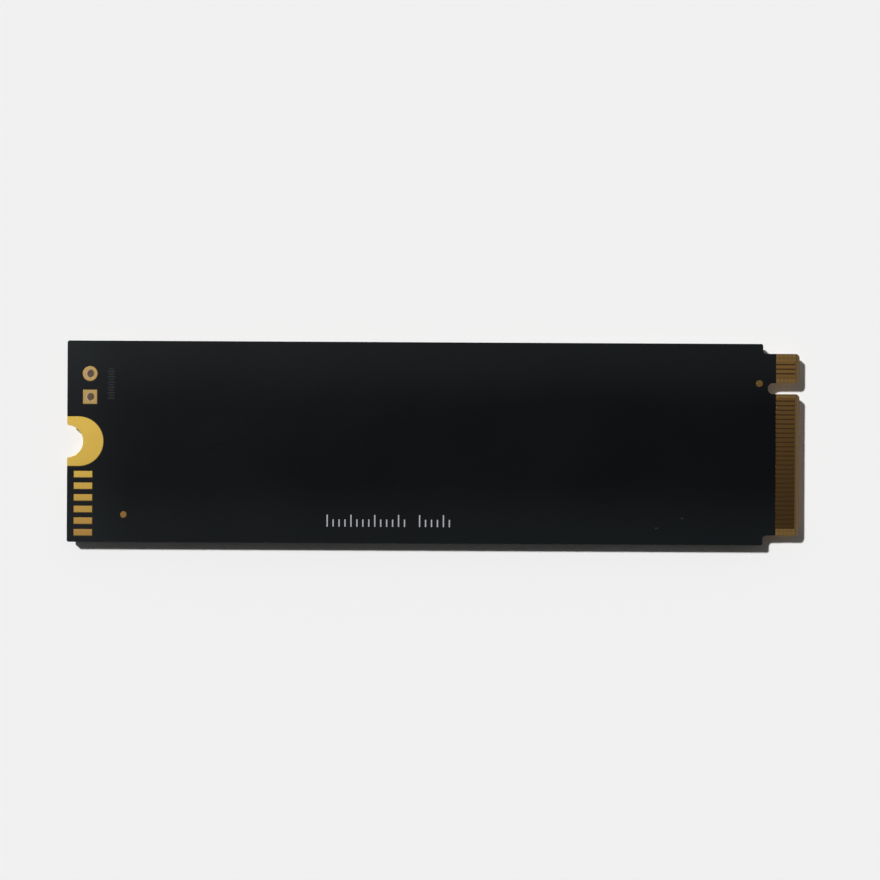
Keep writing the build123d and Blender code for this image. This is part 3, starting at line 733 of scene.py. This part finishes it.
def grown(name, tree, values, mesh=None):
    """A new piece that a node tree makes from the given input values."""
    piece = new_piece(name, mesh or bpy.data.meshes.new(name))
    modifier = piece.modifiers.new(tree.name, "NODES")
    modifier.node_group = tree
    for item in tree.interface.items_tree:
        if item.in_out == "INPUT" and item.name in values:
            modifier[item.identifier] = values[item.name]
    return piece


print("node trees before the first:", len(bpy.data.node_groups))

# %% [markdown]
# ## Solder balls
# Under each ball package lies a full grid of solder balls, each pressed a little flat by
# the package's weight while it was molten. A grid of points with a squashed sphere on
# every point is exactly that. No two balls are the same size, so a seeded random value
# varies them by a few percent. The balls reach a hair into the substrate and the mask, as
# they really wet the pads there.

# %% Ball grid tree
ball_tree, given = new_tree("solder_ball_grid", {
    "Columns": "Int", "Rows": "Int", "Pitch": "Float", "Ball Radius": "Float",
    "Ball Height": "Float", "Centre": "Vector", "Seed": "Int", "Finish": "Material"})
seats = point_grid(ball_tree, given, ("Pitch", "Pitch"))
ball = add_node(ball_tree, "GeometryNodeMeshUVSphere", {"Segments": 10, "Rings": 5,
                                                        "Radius": given["Ball Radius"]})
squash = add_node(ball_tree, "ShaderNodeMath", {0: given["Ball Height"], 1: given["Ball Radius"]},
                  operation="DIVIDE")
half_squash = add_node(ball_tree, "ShaderNodeMath", {0: squash.outputs[0], 1: 0.5},
                       operation="MULTIPLY")
scale = add_node(ball_tree, "ShaderNodeCombineXYZ", {"X": 1.0, "Y": 1.0,
                                                     "Z": half_squash.outputs[0]})
pressed = add_node(ball_tree, "GeometryNodeTransform", {"Geometry": ball.outputs["Mesh"],
                                                        "Scale": scale.outputs["Vector"]})
varied = add_node(ball_tree, "FunctionNodeRandomValue", {2: 0.94, 3: 1.02, "Seed": given["Seed"]},
                  data_type="FLOAT")
copies = add_node(ball_tree, "GeometryNodeInstanceOnPoints", {
    "Points": seats, "Instance": pressed.outputs["Geometry"], "Scale": varied.outputs[1]})
end_tree(ball_tree, copies.outputs["Instances"], given["Finish"])
print("tree", ball_tree.name, "has", len(ball_tree.nodes), "nodes")

# %% Grow the balls
BALL_RADIUS = 0.25
BALL_WETTING = 0.03
# pitch in millimetres, columns and rows
BALL_GRIDS = {"flash": (1.0, 11, 13), "controller": (0.8, 13, 13)}
for number, package in enumerate(ball_packages):
    low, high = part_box(f"{package}_balls")
    pitch, columns, rows = BALL_GRIDS[package.split("_")[0]]
    balls = grown(f"{package}_solder_balls", ball_tree, {
        "Columns": columns, "Rows": rows, "Pitch": pitch * MM,
        "Ball Radius": BALL_RADIUS * MM, "Ball Height": high.z - low.z + 2 * BALL_WETTING * MM,
        "Centre": (low + high) / 2, "Seed": number + 1, "Finish": reflowed})
    finish_piece(balls, reflowed, "solder", f"{package}_balls")

# %% [markdown]
# ## Flat raised shapes
# Contacts, dots, glaze and print are all thin plates with a rounded outline and a slightly
# rounded rim. One function draws a rounded rectangle's outline, another stacks two of them
# into a plate: a wall, a narrow sloping rim and a flat top. The rim falls by half its own
# width, unless it is told to fall less. A Bevel modifier would give the same rim, but a
# plate this simple is quicker to write out, and its face count stays in our hands.

# %% Helpers for plates
def rounded_outline(length, width, radius, steps=4):
    """Points round a rectangle with rounded corners, in millimetres."""
    points = []
    for turn, (x, y) in enumerate(((1, 1), (-1, 1), (-1, -1), (1, -1))):
        centre_x = x * (length / 2 - radius)
        centre_y = y * (width / 2 - radius)
        for step in range(steps + 1):
            angle = math.pi / 2 * (turn + step / steps)
            points.append((centre_x + radius * math.cos(angle), centre_y + radius * math.sin(angle)))
    return points


def add_plate(work, length, width, radius, rim, low, high, x=0, y=0, steps=4, fall=0.5):
    """Adds a plate to the bmesh: it stands from low to high and its rim is on the high side."""
    outer = rounded_outline(length, width, radius, steps)
    inner = rounded_outline(length - 2 * rim, width - 2 * rim, max(radius - rim, rim / 2), steps)
    drop = fall * (rim if high > low else -rim)
    rings = []
    for outline, z in ((outer, low), (outer, high - drop), (inner, high)):
        rings.append([work.verts.new(((x + a) * MM, (y + b) * MM, z * MM)) for a, b in outline])
    faces = [work.faces.new(rings[0]), work.faces.new(rings[-1])]
    for ring, following in zip(rings, rings[1:]):
        for i in range(len(ring)):
            j = (i + 1) % len(ring)
            faces.append(work.faces.new((ring[i], ring[j], following[j], following[i])))
    bmesh.ops.recalc_face_normals(work, faces=faces)
    return faces


def mesh_from(work, name):
    """Turns a bmesh into a mesh and frees it."""
    mesh = bpy.data.meshes.new(name)
    work.to_mesh(mesh)
    work.free()
    return mesh


print("an outline has", len(rounded_outline(1, 1, 0.1)), "points")

# %% [markdown]
# ## Edge contacts
# The contacts sit 0.5 mm apart across the tongue and skip the key slot, and the rows on
# the two faces are half a step apart. The tree draws a line of points, deletes those near
# the slot and puts a contact on the rest. A real contact has tiny round corners, where
# the etching bath ate the copper.

# %% Contact row tree
row_tree, given = new_tree("contact_row", {
    "Count": "Int", "Pitch": "Float", "Row": "Vector", "Slot Place": "Float",
    "Slot Clear": "Float", "Contact": "Object", "Finish": "Material"})
gaps = add_node(row_tree, "ShaderNodeMath", {0: given["Count"], 1: 1.0}, operation="SUBTRACT")
reach = add_node(row_tree, "ShaderNodeMath", {0: gaps.outputs[0], 1: given["Pitch"]},
                 operation="MULTIPLY")
half = add_node(row_tree, "ShaderNodeMath", {0: reach.outputs[0], 1: -0.5}, operation="MULTIPLY")
shift = add_node(row_tree, "ShaderNodeCombineXYZ", {"Y": half.outputs[0]})
start = add_node(row_tree, "ShaderNodeVectorMath", {0: given["Row"], 1: shift.outputs["Vector"]},
                 operation="ADD")
step = add_node(row_tree, "ShaderNodeCombineXYZ", {"Y": given["Pitch"]})
line = add_node(row_tree, "GeometryNodeMeshLine", {
    "Count": given["Count"], "Start Location": start.outputs["Vector"],
    "Offset": step.outputs["Vector"]})
spot = add_node(row_tree, "ShaderNodeSeparateXYZ", {
    "Vector": add_node(row_tree, "GeometryNodeInputPosition").outputs["Position"]})
away = add_node(row_tree, "ShaderNodeMath", {0: spot.outputs["Y"], 1: given["Slot Place"]},
                operation="SUBTRACT")
distance = add_node(row_tree, "ShaderNodeMath", {0: away.outputs[0]}, operation="ABSOLUTE")
near = add_node(row_tree, "FunctionNodeCompare", {0: distance.outputs[0], 1: given["Slot Clear"]},
                data_type="FLOAT", operation="LESS_EQUAL")
kept = add_node(row_tree, "GeometryNodeDeleteGeometry", {"Geometry": line.outputs["Mesh"],
                                                         "Selection": near.outputs["Result"]})
shape = add_node(row_tree, "GeometryNodeObjectInfo", {"Object": given["Contact"]})
copies = add_node(row_tree, "GeometryNodeInstanceOnPoints", {
    "Points": kept.outputs["Geometry"], "Instance": shape.outputs["Geometry"]})
end_tree(row_tree, copies.outputs["Instances"], given["Finish"])
print("tree", row_tree.name, "has", len(row_tree.nodes), "nodes")

# %% Grow the contact rows
CONTACT_CORNER, CONTACT_RIM = 0.06, 0.006
for side, face in (("back", copper_back), ("front", copper_front)):
    low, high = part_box(f"edge_contacts_{side}")
    rise = high.z - low.z if side == "back" else low.z - high.z
    work = bmesh.new()
    add_plate(work, (high.x - low.x) / MM, CONTACT_WIDTH, CONTACT_CORNER, CONTACT_RIM, 0, rise / MM)
    contact = new_piece(f"{side}_contact_shape", mesh_from(work, f"{side}_contact_shape"))
    row = grown(f"{side}_contact_row", row_tree, {
        "Count": contact_count(side), "Pitch": CONTACT_PITCH * MM,
        "Row": ((low.x + high.x) / 2, 0, face - rise), "Slot Place": KEY_PLACE * MM,
        "Slot Clear": KEY_CLEAR * MM, "Contact": contact, "Finish": hard_gold})
    finish_piece(row, hard_gold, "gold", f"edge_contacts_{side}", sharp=FLAT_SHAPE)
    bpy.data.objects.remove(contact)

# %% [markdown]
# ## Solder joints
# Molten solder climbs the metal end of a part and spreads on its pad, and freezes with a
# hollow, concave slope. That little slope tells the eye that a part is soldered, not set
# down. The shape is drawn once at unit size: five slices across the part, each a quarter
# circle cut inwards, with the outer slices pulled in. Then a tree puts one at every end.

# %% One solder joint
ARC_STEPS = 5
EDGE_CLIMB = 0.85
SLICES = ((-0.5, 0.5), (-0.4, 0.88), (0.0, 1.0), (0.4, 0.88), (0.5, 0.5))
ROOT = -0.15
work = bmesh.new()
slices = []
for across, spread in SLICES:
    profile = [(ROOT, 0.0), (ROOT, -1.0)]
    climb = EDGE_CLIMB + (1 - EDGE_CLIMB) * spread
    for i in range(ARC_STEPS + 1):
        angle = math.pi / 2 * i / ARC_STEPS
        profile.append((spread * (1 - math.cos(angle)), -climb * (1 - math.sin(angle))))
    slices.append([work.verts.new((x, across, z)) for x, z in profile])
for slice_a, slice_b in zip(slices, slices[1:]):
    for i in range(len(slice_a)):
        j = (i + 1) % len(slice_a)
        work.faces.new((slice_a[i], slice_a[j], slice_b[j], slice_b[i]))
for end in (slices[0], slices[-1]):
    work.faces.new(end)
bmesh.ops.recalc_face_normals(work, faces=work.faces)
joint_shape = new_piece("joint_shape", mesh_from(work, "joint_shape"))
print("one joint has", len(joint_shape.data.polygons), "faces")

# %% [markdown]
# Where do the joints go? Each chip part's body in the CAD is one loose shell, so we find
# the shells, take each one's box, and know the part's middle and which way it lies. Its
# two ends are half a part's length away. The points carry their turn and size as
# attributes, which the tree reads by name: the size is the solder's reach along the pad
# (its toe), its width, and its climb up the part's end.

# %% Find the parts in a node
def shells(node):
    """The lowest and highest corners of each loose shell in a CAD node."""
    places, faces = whole_faces(node)
    group = list(range(len(places)))

    def root(i):
        while group[i] != i:
            group[i] = group[group[i]]
            i = group[i]
        return i

    for face in faces:
        for i in face[1:]:
            group[root(i)] = root(face[0])
    found = {}
    for i, place in enumerate(places):
        found.setdefault(root(i), []).append(place)
    return [(Vector(map(min, zip(*shell))), Vector(map(max, zip(*shell))))
            for shell in found.values()]


def end_points(low, high, length):
    """The two ends of a part whose body has this box: x, y and turn about Z."""
    middle = (low + high) / 2
    along_x = high.x - low.x >= high.y - low.y
    for sign in (1, -1):
        if along_x:
            yield middle.x + sign * length / 2, middle.y, 0 if sign > 0 else math.pi
        else:
            yield middle.x, middle.y + sign * length / 2, sign * math.pi / 2


print("small capacitors found:", len(shells("small_capacitor_bodies")))

# %% List the joints
TOE = 0.18
CRYSTAL_PADS = (-0.6, 0.6)
CLIP_JOINT = (TOE, 1.5, 0.36)
LEG_JOINT = (0.14, 0.35, 0.11)
# the part's length, and its joint's width and climb
JOINT_PARTS = {
    "small_capacitor_bodies": (1.0, 0.50, 0.30),
    "large_capacitor_bodies": (1.6, 0.80, 0.52),
    "resistor_bodies": (1.0, 0.50, 0.24),
    "ferrite_bead_bodies": (1.6, 0.80, 0.39),
    "crystal_case": (2.5, 0.60, 0.26),
}
joints = []


def add_joint(x, y, turn, size):
    """Lists one joint on the chip side: its place, its turn, and its toe, width and climb."""
    joints.append(((x, y, chip_face), turn, [value * MM for value in size]))


for node, (length, width, climb) in JOINT_PARTS.items():
    shifts = CRYSTAL_PADS if node == "crystal_case" else (0.0,)
    for low, high in shells(node):
        for x, y, turn in end_points(low, high, length * MM):
            for shift in shifts:
                add_joint(x, y + shift * MM, turn, (TOE, width, climb))
for i in range(inductor_count):
    low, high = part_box(f"inductor_{i + 1}_terminals")
    for x, y, turn in end_points(low, high, high.x - low.x):
        add_joint(x, y, turn, CLIP_JOINT)
switch_low, switch_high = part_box("load_switch_body")
for low, high in shells("load_switch_leads"):
    outward = 1 if low.y + high.y > switch_low.y + switch_high.y else -1
    tip = high.y if outward > 0 else low.y
    add_joint((low.x + high.x) / 2, tip, outward * math.pi / 2, LEG_JOINT)
print("solder joints:", len(joints))

# %% Solder joint tree
joint_tree, given = new_tree("solder_joints", {"Joint": "Object", "Finish": "Material"})
turn_of = add_node(joint_tree, "GeometryNodeInputNamedAttribute", {"Name": "turn"},
                   data_type="FLOAT")
size_of = add_node(joint_tree, "GeometryNodeInputNamedAttribute", {"Name": "size"},
                   data_type="FLOAT_VECTOR")
spin = add_node(joint_tree, "ShaderNodeCombineXYZ", {"Z": turn_of.outputs["Attribute"]})
shape = add_node(joint_tree, "GeometryNodeObjectInfo", {"Object": given["Joint"]})
copies = add_node(joint_tree, "GeometryNodeInstanceOnPoints", {
    "Points": given["Geometry"], "Instance": shape.outputs["Geometry"],
    "Rotation": spin.outputs["Vector"], "Scale": size_of.outputs["Attribute"]})
end_tree(joint_tree, copies.outputs["Instances"], given["Finish"])


def point_mesh(name, marks):
    """A mesh of loose points that carry their turn and size."""
    mesh = bpy.data.meshes.new(name)
    mesh.from_pydata([place for place, turn, size in marks], [], [])
    turns = mesh.attributes.new("turn", "FLOAT", "POINT")
    turns.data.foreach_set("value", [turn for place, turn, size in marks])
    sizes = mesh.attributes.new("size", "FLOAT_VECTOR", "POINT")
    sizes.data.foreach_set("vector", [value for place, turn, size in marks for value in size])
    return mesh


solder = grown("solder_joints", joint_tree, {"Joint": joint_shape, "Finish": reflowed},
               point_mesh("joint_points", joints))
finish_piece(solder, reflowed, "solder", "solder_fillets")
bpy.data.objects.remove(joint_shape)

# %% [markdown]
# ## Glaze on the resistors
# A chip resistor is white underneath and black on top, where glass glaze covers its film.
# Hung under the card, that top faces down. The glaze could be a second material on some
# faces of the body, but it really is a separate coat with its own edge. So each patch is
# a thin plate on a resistor's outer face, between its metal ends.

# %% Resistor glaze
GLAZE_SHARE = 0.94
GLAZE_CORNER, GLAZE_RIM = 0.04, 0.012
GLAZE_LET_IN, GLAZE_PROUD = 0.01, 0.012
work = bmesh.new()
for low, high in shells("resistor_bodies"):
    middle = (low + high) / 2 / MM
    size = (high - low) / MM
    add_plate(work, size.x * GLAZE_SHARE, size.y * GLAZE_SHARE, GLAZE_CORNER, GLAZE_RIM,
              low.z / MM + GLAZE_LET_IN, low.z / MM - GLAZE_PROUD, middle.x, middle.y)
glaze = new_piece("resistor_glaze", mesh_from(work, "resistor_glaze"))
finish_piece(glaze, fired_materials["black_resistor_glaze"], "resistor_ceramic", sharp=FLAT_SHAPE)

# %% [markdown]
# ## Print on the chip side
# The assembly line needs marks: a corner bracket at each package corner and a dot at its
# first pin. They are plates of ink, 0.12 mm wide, that lie on the mask just outside each
# package. All of them go into one mesh, because one screen printed them in one pass.

# %% Chip side legend
INK_WIDTH, INK_CORNER, INK_RIM = 0.12, 0.04, 0.01
INK_LET_IN, INK_PROUD = 0.005, 0.012
BRACKET_GAP, BRACKET_ARM = 0.14, 0.80
FIRST_PIN_SIZE, FIRST_PIN_CORNER = 0.36, 0.179
FIRST_PIN_OUT, FIRST_PIN_UP = 0.42, 0.75


def add_ink(work, length, width, x, y, corner=INK_CORNER):
    """Adds one flat patch of ink on the chip side."""
    face = chip_face / MM
    add_plate(work, length, width, corner, INK_RIM, face + INK_LET_IN, face - INK_PROUD, x, y, 3)


work = bmesh.new()
for node in [f"{package}_body" for package in ball_packages] + ["power_chip_body"]:
    low, high = (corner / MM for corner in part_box(node))
    for x, toward_x in ((low.x - BRACKET_GAP, 1), (high.x + BRACKET_GAP, -1)):
        for y, toward_y in ((low.y - BRACKET_GAP, 1), (high.y + BRACKET_GAP, -1)):
            arm = BRACKET_ARM - INK_WIDTH
            add_ink(work, BRACKET_ARM, INK_WIDTH, x + toward_x * arm / 2, y)
            add_ink(work, INK_WIDTH, arm, x, y + toward_y * (arm + INK_WIDTH) / 2)
    add_ink(work, FIRST_PIN_SIZE, FIRST_PIN_SIZE, low.x - FIRST_PIN_OUT, low.y + FIRST_PIN_UP,
            FIRST_PIN_CORNER)
legend = new_piece("chip_side_legend", mesh_from(work, "chip_side_legend"))
finish_piece(legend, legend_ink, "print", sharp=FLAT_SHAPE)

# %% [markdown]
# ## Dots on the chip side
# The chip side has its own pair of alignment dots, which the camera of the machine that
# sets the chips looks for. They are bare gold, at the ends of the other diagonal, so we
# read the back's dots from the CAD and turn their Y round. The plate function makes them:
# a square whose corners are rounded all the way is a disc.

# %% Chip side dots
DOT_SIZE, DOT_CORNER, DOT_RIM = 0.66, 0.329, 0.006
DOT_LET_IN, DOT_PROUD = 0.005, 0.006
work = bmesh.new()
for low, high in shells("alignment_dots"):
    middle = (low + high) / 2 / MM
    add_plate(work, DOT_SIZE, DOT_SIZE, DOT_CORNER, DOT_RIM, chip_face / MM + DOT_LET_IN,
              chip_face / MM - DOT_PROUD, middle.x, -middle.y, 6)
front_dots = new_piece("front_dots", mesh_from(work, "front_dots"))
finish_piece(front_dots, dull_gold, "gold", sharp=FLAT_SHAPE)

# %% [markdown]
# ## What shows through the mask
# The mask is so thin that the copper under it shows as a very low relief. Vias, the
# plated holes that join the layers, are small round humps there. A bump pattern could
# draw them, but real humps are part of the mesh itself. The tree lays a grid of
# them, thinned at random with a fixed seed, because no real board drills a full grid.

# %% Tented via tree
via_tree, given = new_tree("tented_vias", {
    "Columns": "Int", "Rows": "Int", "Pitch X": "Float", "Pitch Y": "Float",
    "Centre": "Vector", "Share Kept": "Float", "Seed": "Int", "Hump": "Object",
    "Finish": "Material"})
seats = point_grid(via_tree, given, ("Pitch X", "Pitch Y"))
drilled = add_node(via_tree, "FunctionNodeRandomValue", {"Probability": given["Share Kept"],
                                                         "Seed": given["Seed"]},
                   data_type="BOOLEAN")
shape = add_node(via_tree, "GeometryNodeObjectInfo", {"Object": given["Hump"]})
copies = add_node(via_tree, "GeometryNodeInstanceOnPoints", {
    "Points": seats, "Selection": drilled.outputs[3], "Instance": shape.outputs["Geometry"]})
end_tree(via_tree, copies.outputs["Instances"], given["Finish"])
print("tree", via_tree.name, "has", len(via_tree.nodes), "nodes")

# %% Grow the vias
VIA_RADIUS = 0.17
# share of the radius, and rise in millimetres
HUMP_RINGS = ((1.0, -0.0010), (0.75, 0.0008), (0.45, 0.0018), (0.20, 0.0021), (0.0, 0.0021))
HUMP_SIDES = 12
work = bmesh.new()
rings = []
for share, rise in HUMP_RINGS:
    reach = share * VIA_RADIUS * MM
    angles = [2 * math.pi * i / HUMP_SIDES for i in range(HUMP_SIDES if share else 1)]
    rings.append([work.verts.new((reach * math.cos(angle), reach * math.sin(angle), rise * MM))
                  for angle in angles])
work.faces.new(rings[0])
for ring, following in zip(rings, rings[1:]):
    for i in range(HUMP_SIDES):
        j = (i + 1) % HUMP_SIDES
        tip = [following[j], following[i]] if len(following) > 1 else [following[0]]
        work.faces.new([ring[i], ring[j]] + tip)
bmesh.ops.recalc_face_normals(work, faces=work.faces)
hump = new_piece("hump_shape", mesh_from(work, "hump_shape"))
# columns, rows, pitch along and across, centre, share kept and seed
VIA_FIELDS = {
    "vias_by_top_edge": (28, 1, 2.5, 1.0, (-0.5, 10.35), 0.93, 3),
    "vias_by_low_edge": (28, 1, 2.5, 1.0, (-0.5, -10.35), 0.93, 4),
    "vias_under_controller": (10, 10, 0.8, 0.8, (21.8, 0.0), 0.42, 5),
    "vias_by_contacts": (5, 12, 0.9, 1.3, (34.6, -1.2), 0.45, 6),
    "vias_under_memory": (44, 8, 1.0, 1.3, (-9.7, 0.4), 0.16, 7),
}
for name, (columns, rows, pitch_x, pitch_y, (x, y), share, seed) in VIA_FIELDS.items():
    field = grown(name, via_tree, {
        "Columns": columns, "Rows": rows, "Pitch X": pitch_x * MM, "Pitch Y": pitch_y * MM,
        "Centre": (x * MM, y * MM, back_face), "Share Kept": share, "Seed": seed,
        "Hump": hump, "Finish": black_mask})
    finish_piece(field, black_mask, "solder_mask")
bpy.data.objects.remove(hump)

# %% [markdown]
# Traces are flat copper lines under the mask. Each run is a path with 45 degree bends, and
# the tree sweeps a flat, wide profile along it: the path becomes a curve, its corners are
# eased, and Curve to Mesh makes the line. Lanes stay parallel through a bend only if each
# one bends a little later than its neighbour, by the pitch times the tangent of 22.5
# degrees. Only a few microns stand above the mask's face.

# %% Trace tree
trace_tree, given = new_tree("trace_runs", {
    "Trace Width": "Float", "Trace Height": "Float", "Bend Radius": "Float",
    "Finish": "Material"})
path = add_node(trace_tree, "GeometryNodeMeshToCurve", {"Mesh": given["Geometry"]})
eased = add_node(trace_tree, "GeometryNodeFilletCurve", {"Curve": path.outputs["Curve"],
                                                         "Radius": given["Bend Radius"],
                                                         "Limit Radius": True})
level = add_node(trace_tree, "GeometryNodeSetCurveNormal", {"Curve": eased.outputs["Curve"]},
                 mode="Z_UP")
section = add_node(trace_tree, "GeometryNodeCurvePrimitiveQuadrilateral", {
    "Width": given["Trace Width"], "Height": given["Trace Height"]}, mode="RECTANGLE")
swept = add_node(trace_tree, "GeometryNodeCurveToMesh", {"Curve": level.outputs["Curve"],
                                                         "Profile Curve": section.outputs["Curve"],
                                                         "Fill Caps": True})
end_tree(trace_tree, swept.outputs["Mesh"], given["Finish"])
print("tree", trace_tree.name, "has", len(trace_tree.nodes), "nodes")

# %% Grow the traces
TRACE_WIDTH, TRACE_RELIEF, TRACE_PITCH, TRACE_EASE = 0.16, 0.003, 0.42, 0.5
BEND_LAG = TRACE_PITCH * math.tan(math.pi / 8)
LOW_LANES, HIGH_LANES = 8, 4
JOG, STAGGER = 1.6, 2.0
runs = []
for lane in range(LOW_LANES):
    y = 1.4 - lane * TRACE_PITCH
    bend = 16.0 + lane * BEND_LAG
    back = -12.0 - lane * STAGGER
    runs.append([(26.5, y), (bend, y), (bend - 2 * JOG, y - 2 * JOG), (back, y - 2 * JOG),
                 (back - JOG, y - JOG), (-30.0, y - JOG)])
for lane in range(HIGH_LANES):
    y = 5.2 - lane * TRACE_PITCH
    bend = 5.0 - lane * BEND_LAG
    runs.append([(25.5, y), (bend, y), (bend - JOG, y + JOG), (-27.0, y + JOG)])
verts, edges = [], []
for run in runs:
    first = len(verts)
    verts += [(x * MM, y * MM, back_face) for x, y in run]
    edges += [(first + i, first + i + 1) for i in range(len(run) - 1)]
path_mesh = bpy.data.meshes.new("trace_paths")
path_mesh.from_pydata(verts, edges, [])
traces = grown("traces_under_mask", trace_tree, {
    "Trace Width": TRACE_WIDTH * MM, "Trace Height": 2 * TRACE_RELIEF * MM,
    "Bend Radius": TRACE_EASE * MM, "Finish": black_mask}, path_mesh)
finish_piece(traces, black_mask, "solder_mask")

# %% [markdown]
# ## Faint marks on the bare side
# Beside the header holes a short column of etched marks shows faintly through the mask,
# and two tiny specks sit near the lower edge. They are nearly invisible, but they keep
# the large black face from looking like a drawing. Here the marks are plain strokes, long
# and short in turn. Their rims fall by only a micron, so the eye sees their tone alone.

# %% Faint marks and specks
MARK_PLACE = (-35.2, 6.3)
MARK_COUNT, MARK_PITCH = 12, 0.29
MARK_LONG, MARK_SHORT, MARK_STROKE = 0.84, 0.60, 0.17
MARK_CORNER, MARK_RIM, MARK_FALL = 0.06, 0.05, 0.02
MARK_LET_IN, MARK_PROUD = 0.002, 0.001
SPECKS = ((24.4, -9.20, 0.34), (27.2, -8.10, 0.30))
flecks = [(MARK_PLACE[0], MARK_PLACE[1] + (i - (MARK_COUNT - 1) / 2) * MARK_PITCH,
           MARK_SHORT if i % 2 else MARK_LONG) for i in range(MARK_COUNT)]
work = bmesh.new()
for x, y, length in flecks + list(SPECKS):
    add_plate(work, length, MARK_STROKE, MARK_CORNER, MARK_RIM, back_face / MM - MARK_LET_IN,
              back_face / MM + MARK_PROUD, x, y, fall=MARK_FALL)
marks = new_piece("etched_marks_under_mask", mesh_from(work, "etched_marks"))
marks_under_mask = retinted(black_mask, "black_solder_mask_over_copper", {
    "tone": ("#222427", "#26282C"), "bare board tone": ("#222427", "#26282C")})
finish_piece(marks, marks_under_mask, "solder_mask")

# %% [markdown]
# ## Floor
# The card lies on plain pale paper. The paper is pale by its own colour, and the light is
# no stronger for it. It starts a hair under the flash packages, so the two surfaces don't
# fight for the same pixels. Only the camera sees it, and only from above. So the chip
# side can be looked at from below, lit by the room as the paper would light it. A plain
# sheet will do, since the mix in its material is what hides it from other rays.

# %% Floor
FLOOR_HALF = 2500.0
FLOOR_DROP = 0.01
paper, tree, shader, place = new_material("pale_paper")
fill_inputs(shader, {"Base Color": linear("#F0F0F0"), "Roughness": 0.9, "Specular IOR Level": 0.0})
side_of = add_node(tree, "ShaderNodeNewGeometry")
ray = add_node(tree, "ShaderNodeLightPath")
unseen = add_node(tree, "ShaderNodeMath", {0: 1.0, 1: ray.outputs["Is Camera Ray"]},
                  operation="SUBTRACT")
see_through = add_node(tree, "ShaderNodeMath", {0: side_of.outputs["Backfacing"],
                                                1: unseen.outputs["Value"]}, operation="MAXIMUM")
nothing = add_node(tree, "ShaderNodeBsdfTransparent")
sheet = add_node(tree, "ShaderNodeMixShader", {0: see_through.outputs["Value"],
                                               1: shader.outputs["BSDF"],
                                               2: nothing.outputs["BSDF"]})
output = next(node for node in tree.nodes if node.bl_idname == "ShaderNodeOutputMaterial")
fill_inputs(output, {"Surface": sheet.outputs["Shader"]})
work = bmesh.new()
corners = [(-1, -1), (1, -1), (1, 1), (-1, 1)]
work.faces.new([work.verts.new((x * FLOOR_HALF * MM, y * FLOOR_HALF * MM, -FLOOR_DROP * MM))
                for x, y in corners])
floor = new_piece("paper_floor", mesh_from(work, "paper_floor"))
floor.data.materials.append(paper)
print("floor made")

# %% [markdown]
# ## Light
# A lamp far off to the upper left throws the shadow to the lower right. The shadow's edge
# is nearly crisp, so the lamp is a Sun only four degrees wide, which also lights the
# paper evenly. The room round it has pale walls and a dark ceiling, and that ceiling is
# what the black mask and the gold mirror back into a camera that looks straight down. Sun
# and room together light the paper so that its colour renders as it is written. A camera
# that looks past the paper sees a wall of nearly the same pale tone all round. Towards +Y
# the ceiling is a little lighter, as if a window stood there: the upper contacts and the
# mask's far edge show it.

# %% Lamp and room
LAMP_TOWARD = Vector((-0.52, 0.46, 1.0))
LAMP_STRENGTH, LAMP_SPREAD = 3.47, 4
PALE_WALL, DARK_CEILING, WINDOW_SIDE = 0.87, 0.020, 0.22
lamp = bpy.data.lights.new("key_lamp", "SUN")
lamp.energy = LAMP_STRENGTH
lamp.angle = math.radians(LAMP_SPREAD)
key = bpy.data.objects.new("key_lamp", lamp)
bpy.context.scene.collection.objects.link(key)
key.rotation_euler = LAMP_TOWARD.to_track_quat("Z", "Y").to_euler()
world = bpy.data.worlds.new("studio_room")
world.use_nodes = True
tree = world.node_tree
tree.nodes.clear()
way = add_node(tree, "ShaderNodeTexCoord")
up = add_node(tree, "ShaderNodeSeparateXYZ", {"Vector": way.outputs["Generated"]})
ceiling = add_node(tree, "ShaderNodeMapRange", {"Value": up.outputs["Y"], "From Min": 0.0,
                                                "From Max": 0.22, "To Min": DARK_CEILING,
                                                "To Max": WINDOW_SIDE})
shade = add_node(tree, "ShaderNodeMapRange", {"Value": up.outputs["Z"], "From Min": 0.05,
                                              "From Max": 0.25, "To Min": PALE_WALL,
                                              "To Max": ceiling.outputs["Result"]},
                 interpolation_type="SMOOTHSTEP")
ray = add_node(tree, "ShaderNodeLightPath")
backdrop = add_node(tree, "ShaderNodeMath", {0: ray.outputs["Is Camera Ray"], 1: PALE_WALL},
                    operation="MULTIPLY")
seen = add_node(tree, "ShaderNodeMath", {0: shade.outputs["Result"], 1: backdrop.outputs["Value"]},
                operation="MAXIMUM")
room = add_node(tree, "ShaderNodeBackground", {"Strength": seen.outputs["Value"]})
add_node(tree, "ShaderNodeOutputWorld", {"Surface": room.outputs["Background"]})
bpy.context.scene.world = world
bpy.context.scene.view_settings.view_transform = "Standard"
print("lamp strength", lamp.energy)

# %% [markdown]
# ## Camera
# The picture was taken from straight above, and the card lies in it turned by a third of
# a degree. Its 80 mm cover 732 of the 880 pixels, so the frame is 96 mm wide at the
# card's face, and a long lens puts the camera about 23 cm up.

# %% Camera
LENS = 85.0
SENSOR = 36.0
FRAME_WIDTH = 96.13
AIM = (0.73, 0.33)
CARD_TURN = 0.297
camera_data = bpy.data.cameras.new("overhead_camera")
camera_data.lens = LENS
camera_data.sensor_width = SENSOR
camera_data.clip_start = 5 * MM
camera_data.clip_end = 20.0
camera = bpy.data.objects.new("overhead_camera", camera_data)
bpy.context.scene.collection.objects.link(camera)
height = back_face + FRAME_WIDTH * MM * LENS / SENSOR
camera.location = (AIM[0] * MM, AIM[1] * MM, height)
camera.rotation_euler = (0, 0, math.radians(CARD_TURN))
bpy.context.scene.camera = camera
print("camera height in mm:", round(height / MM, 1))
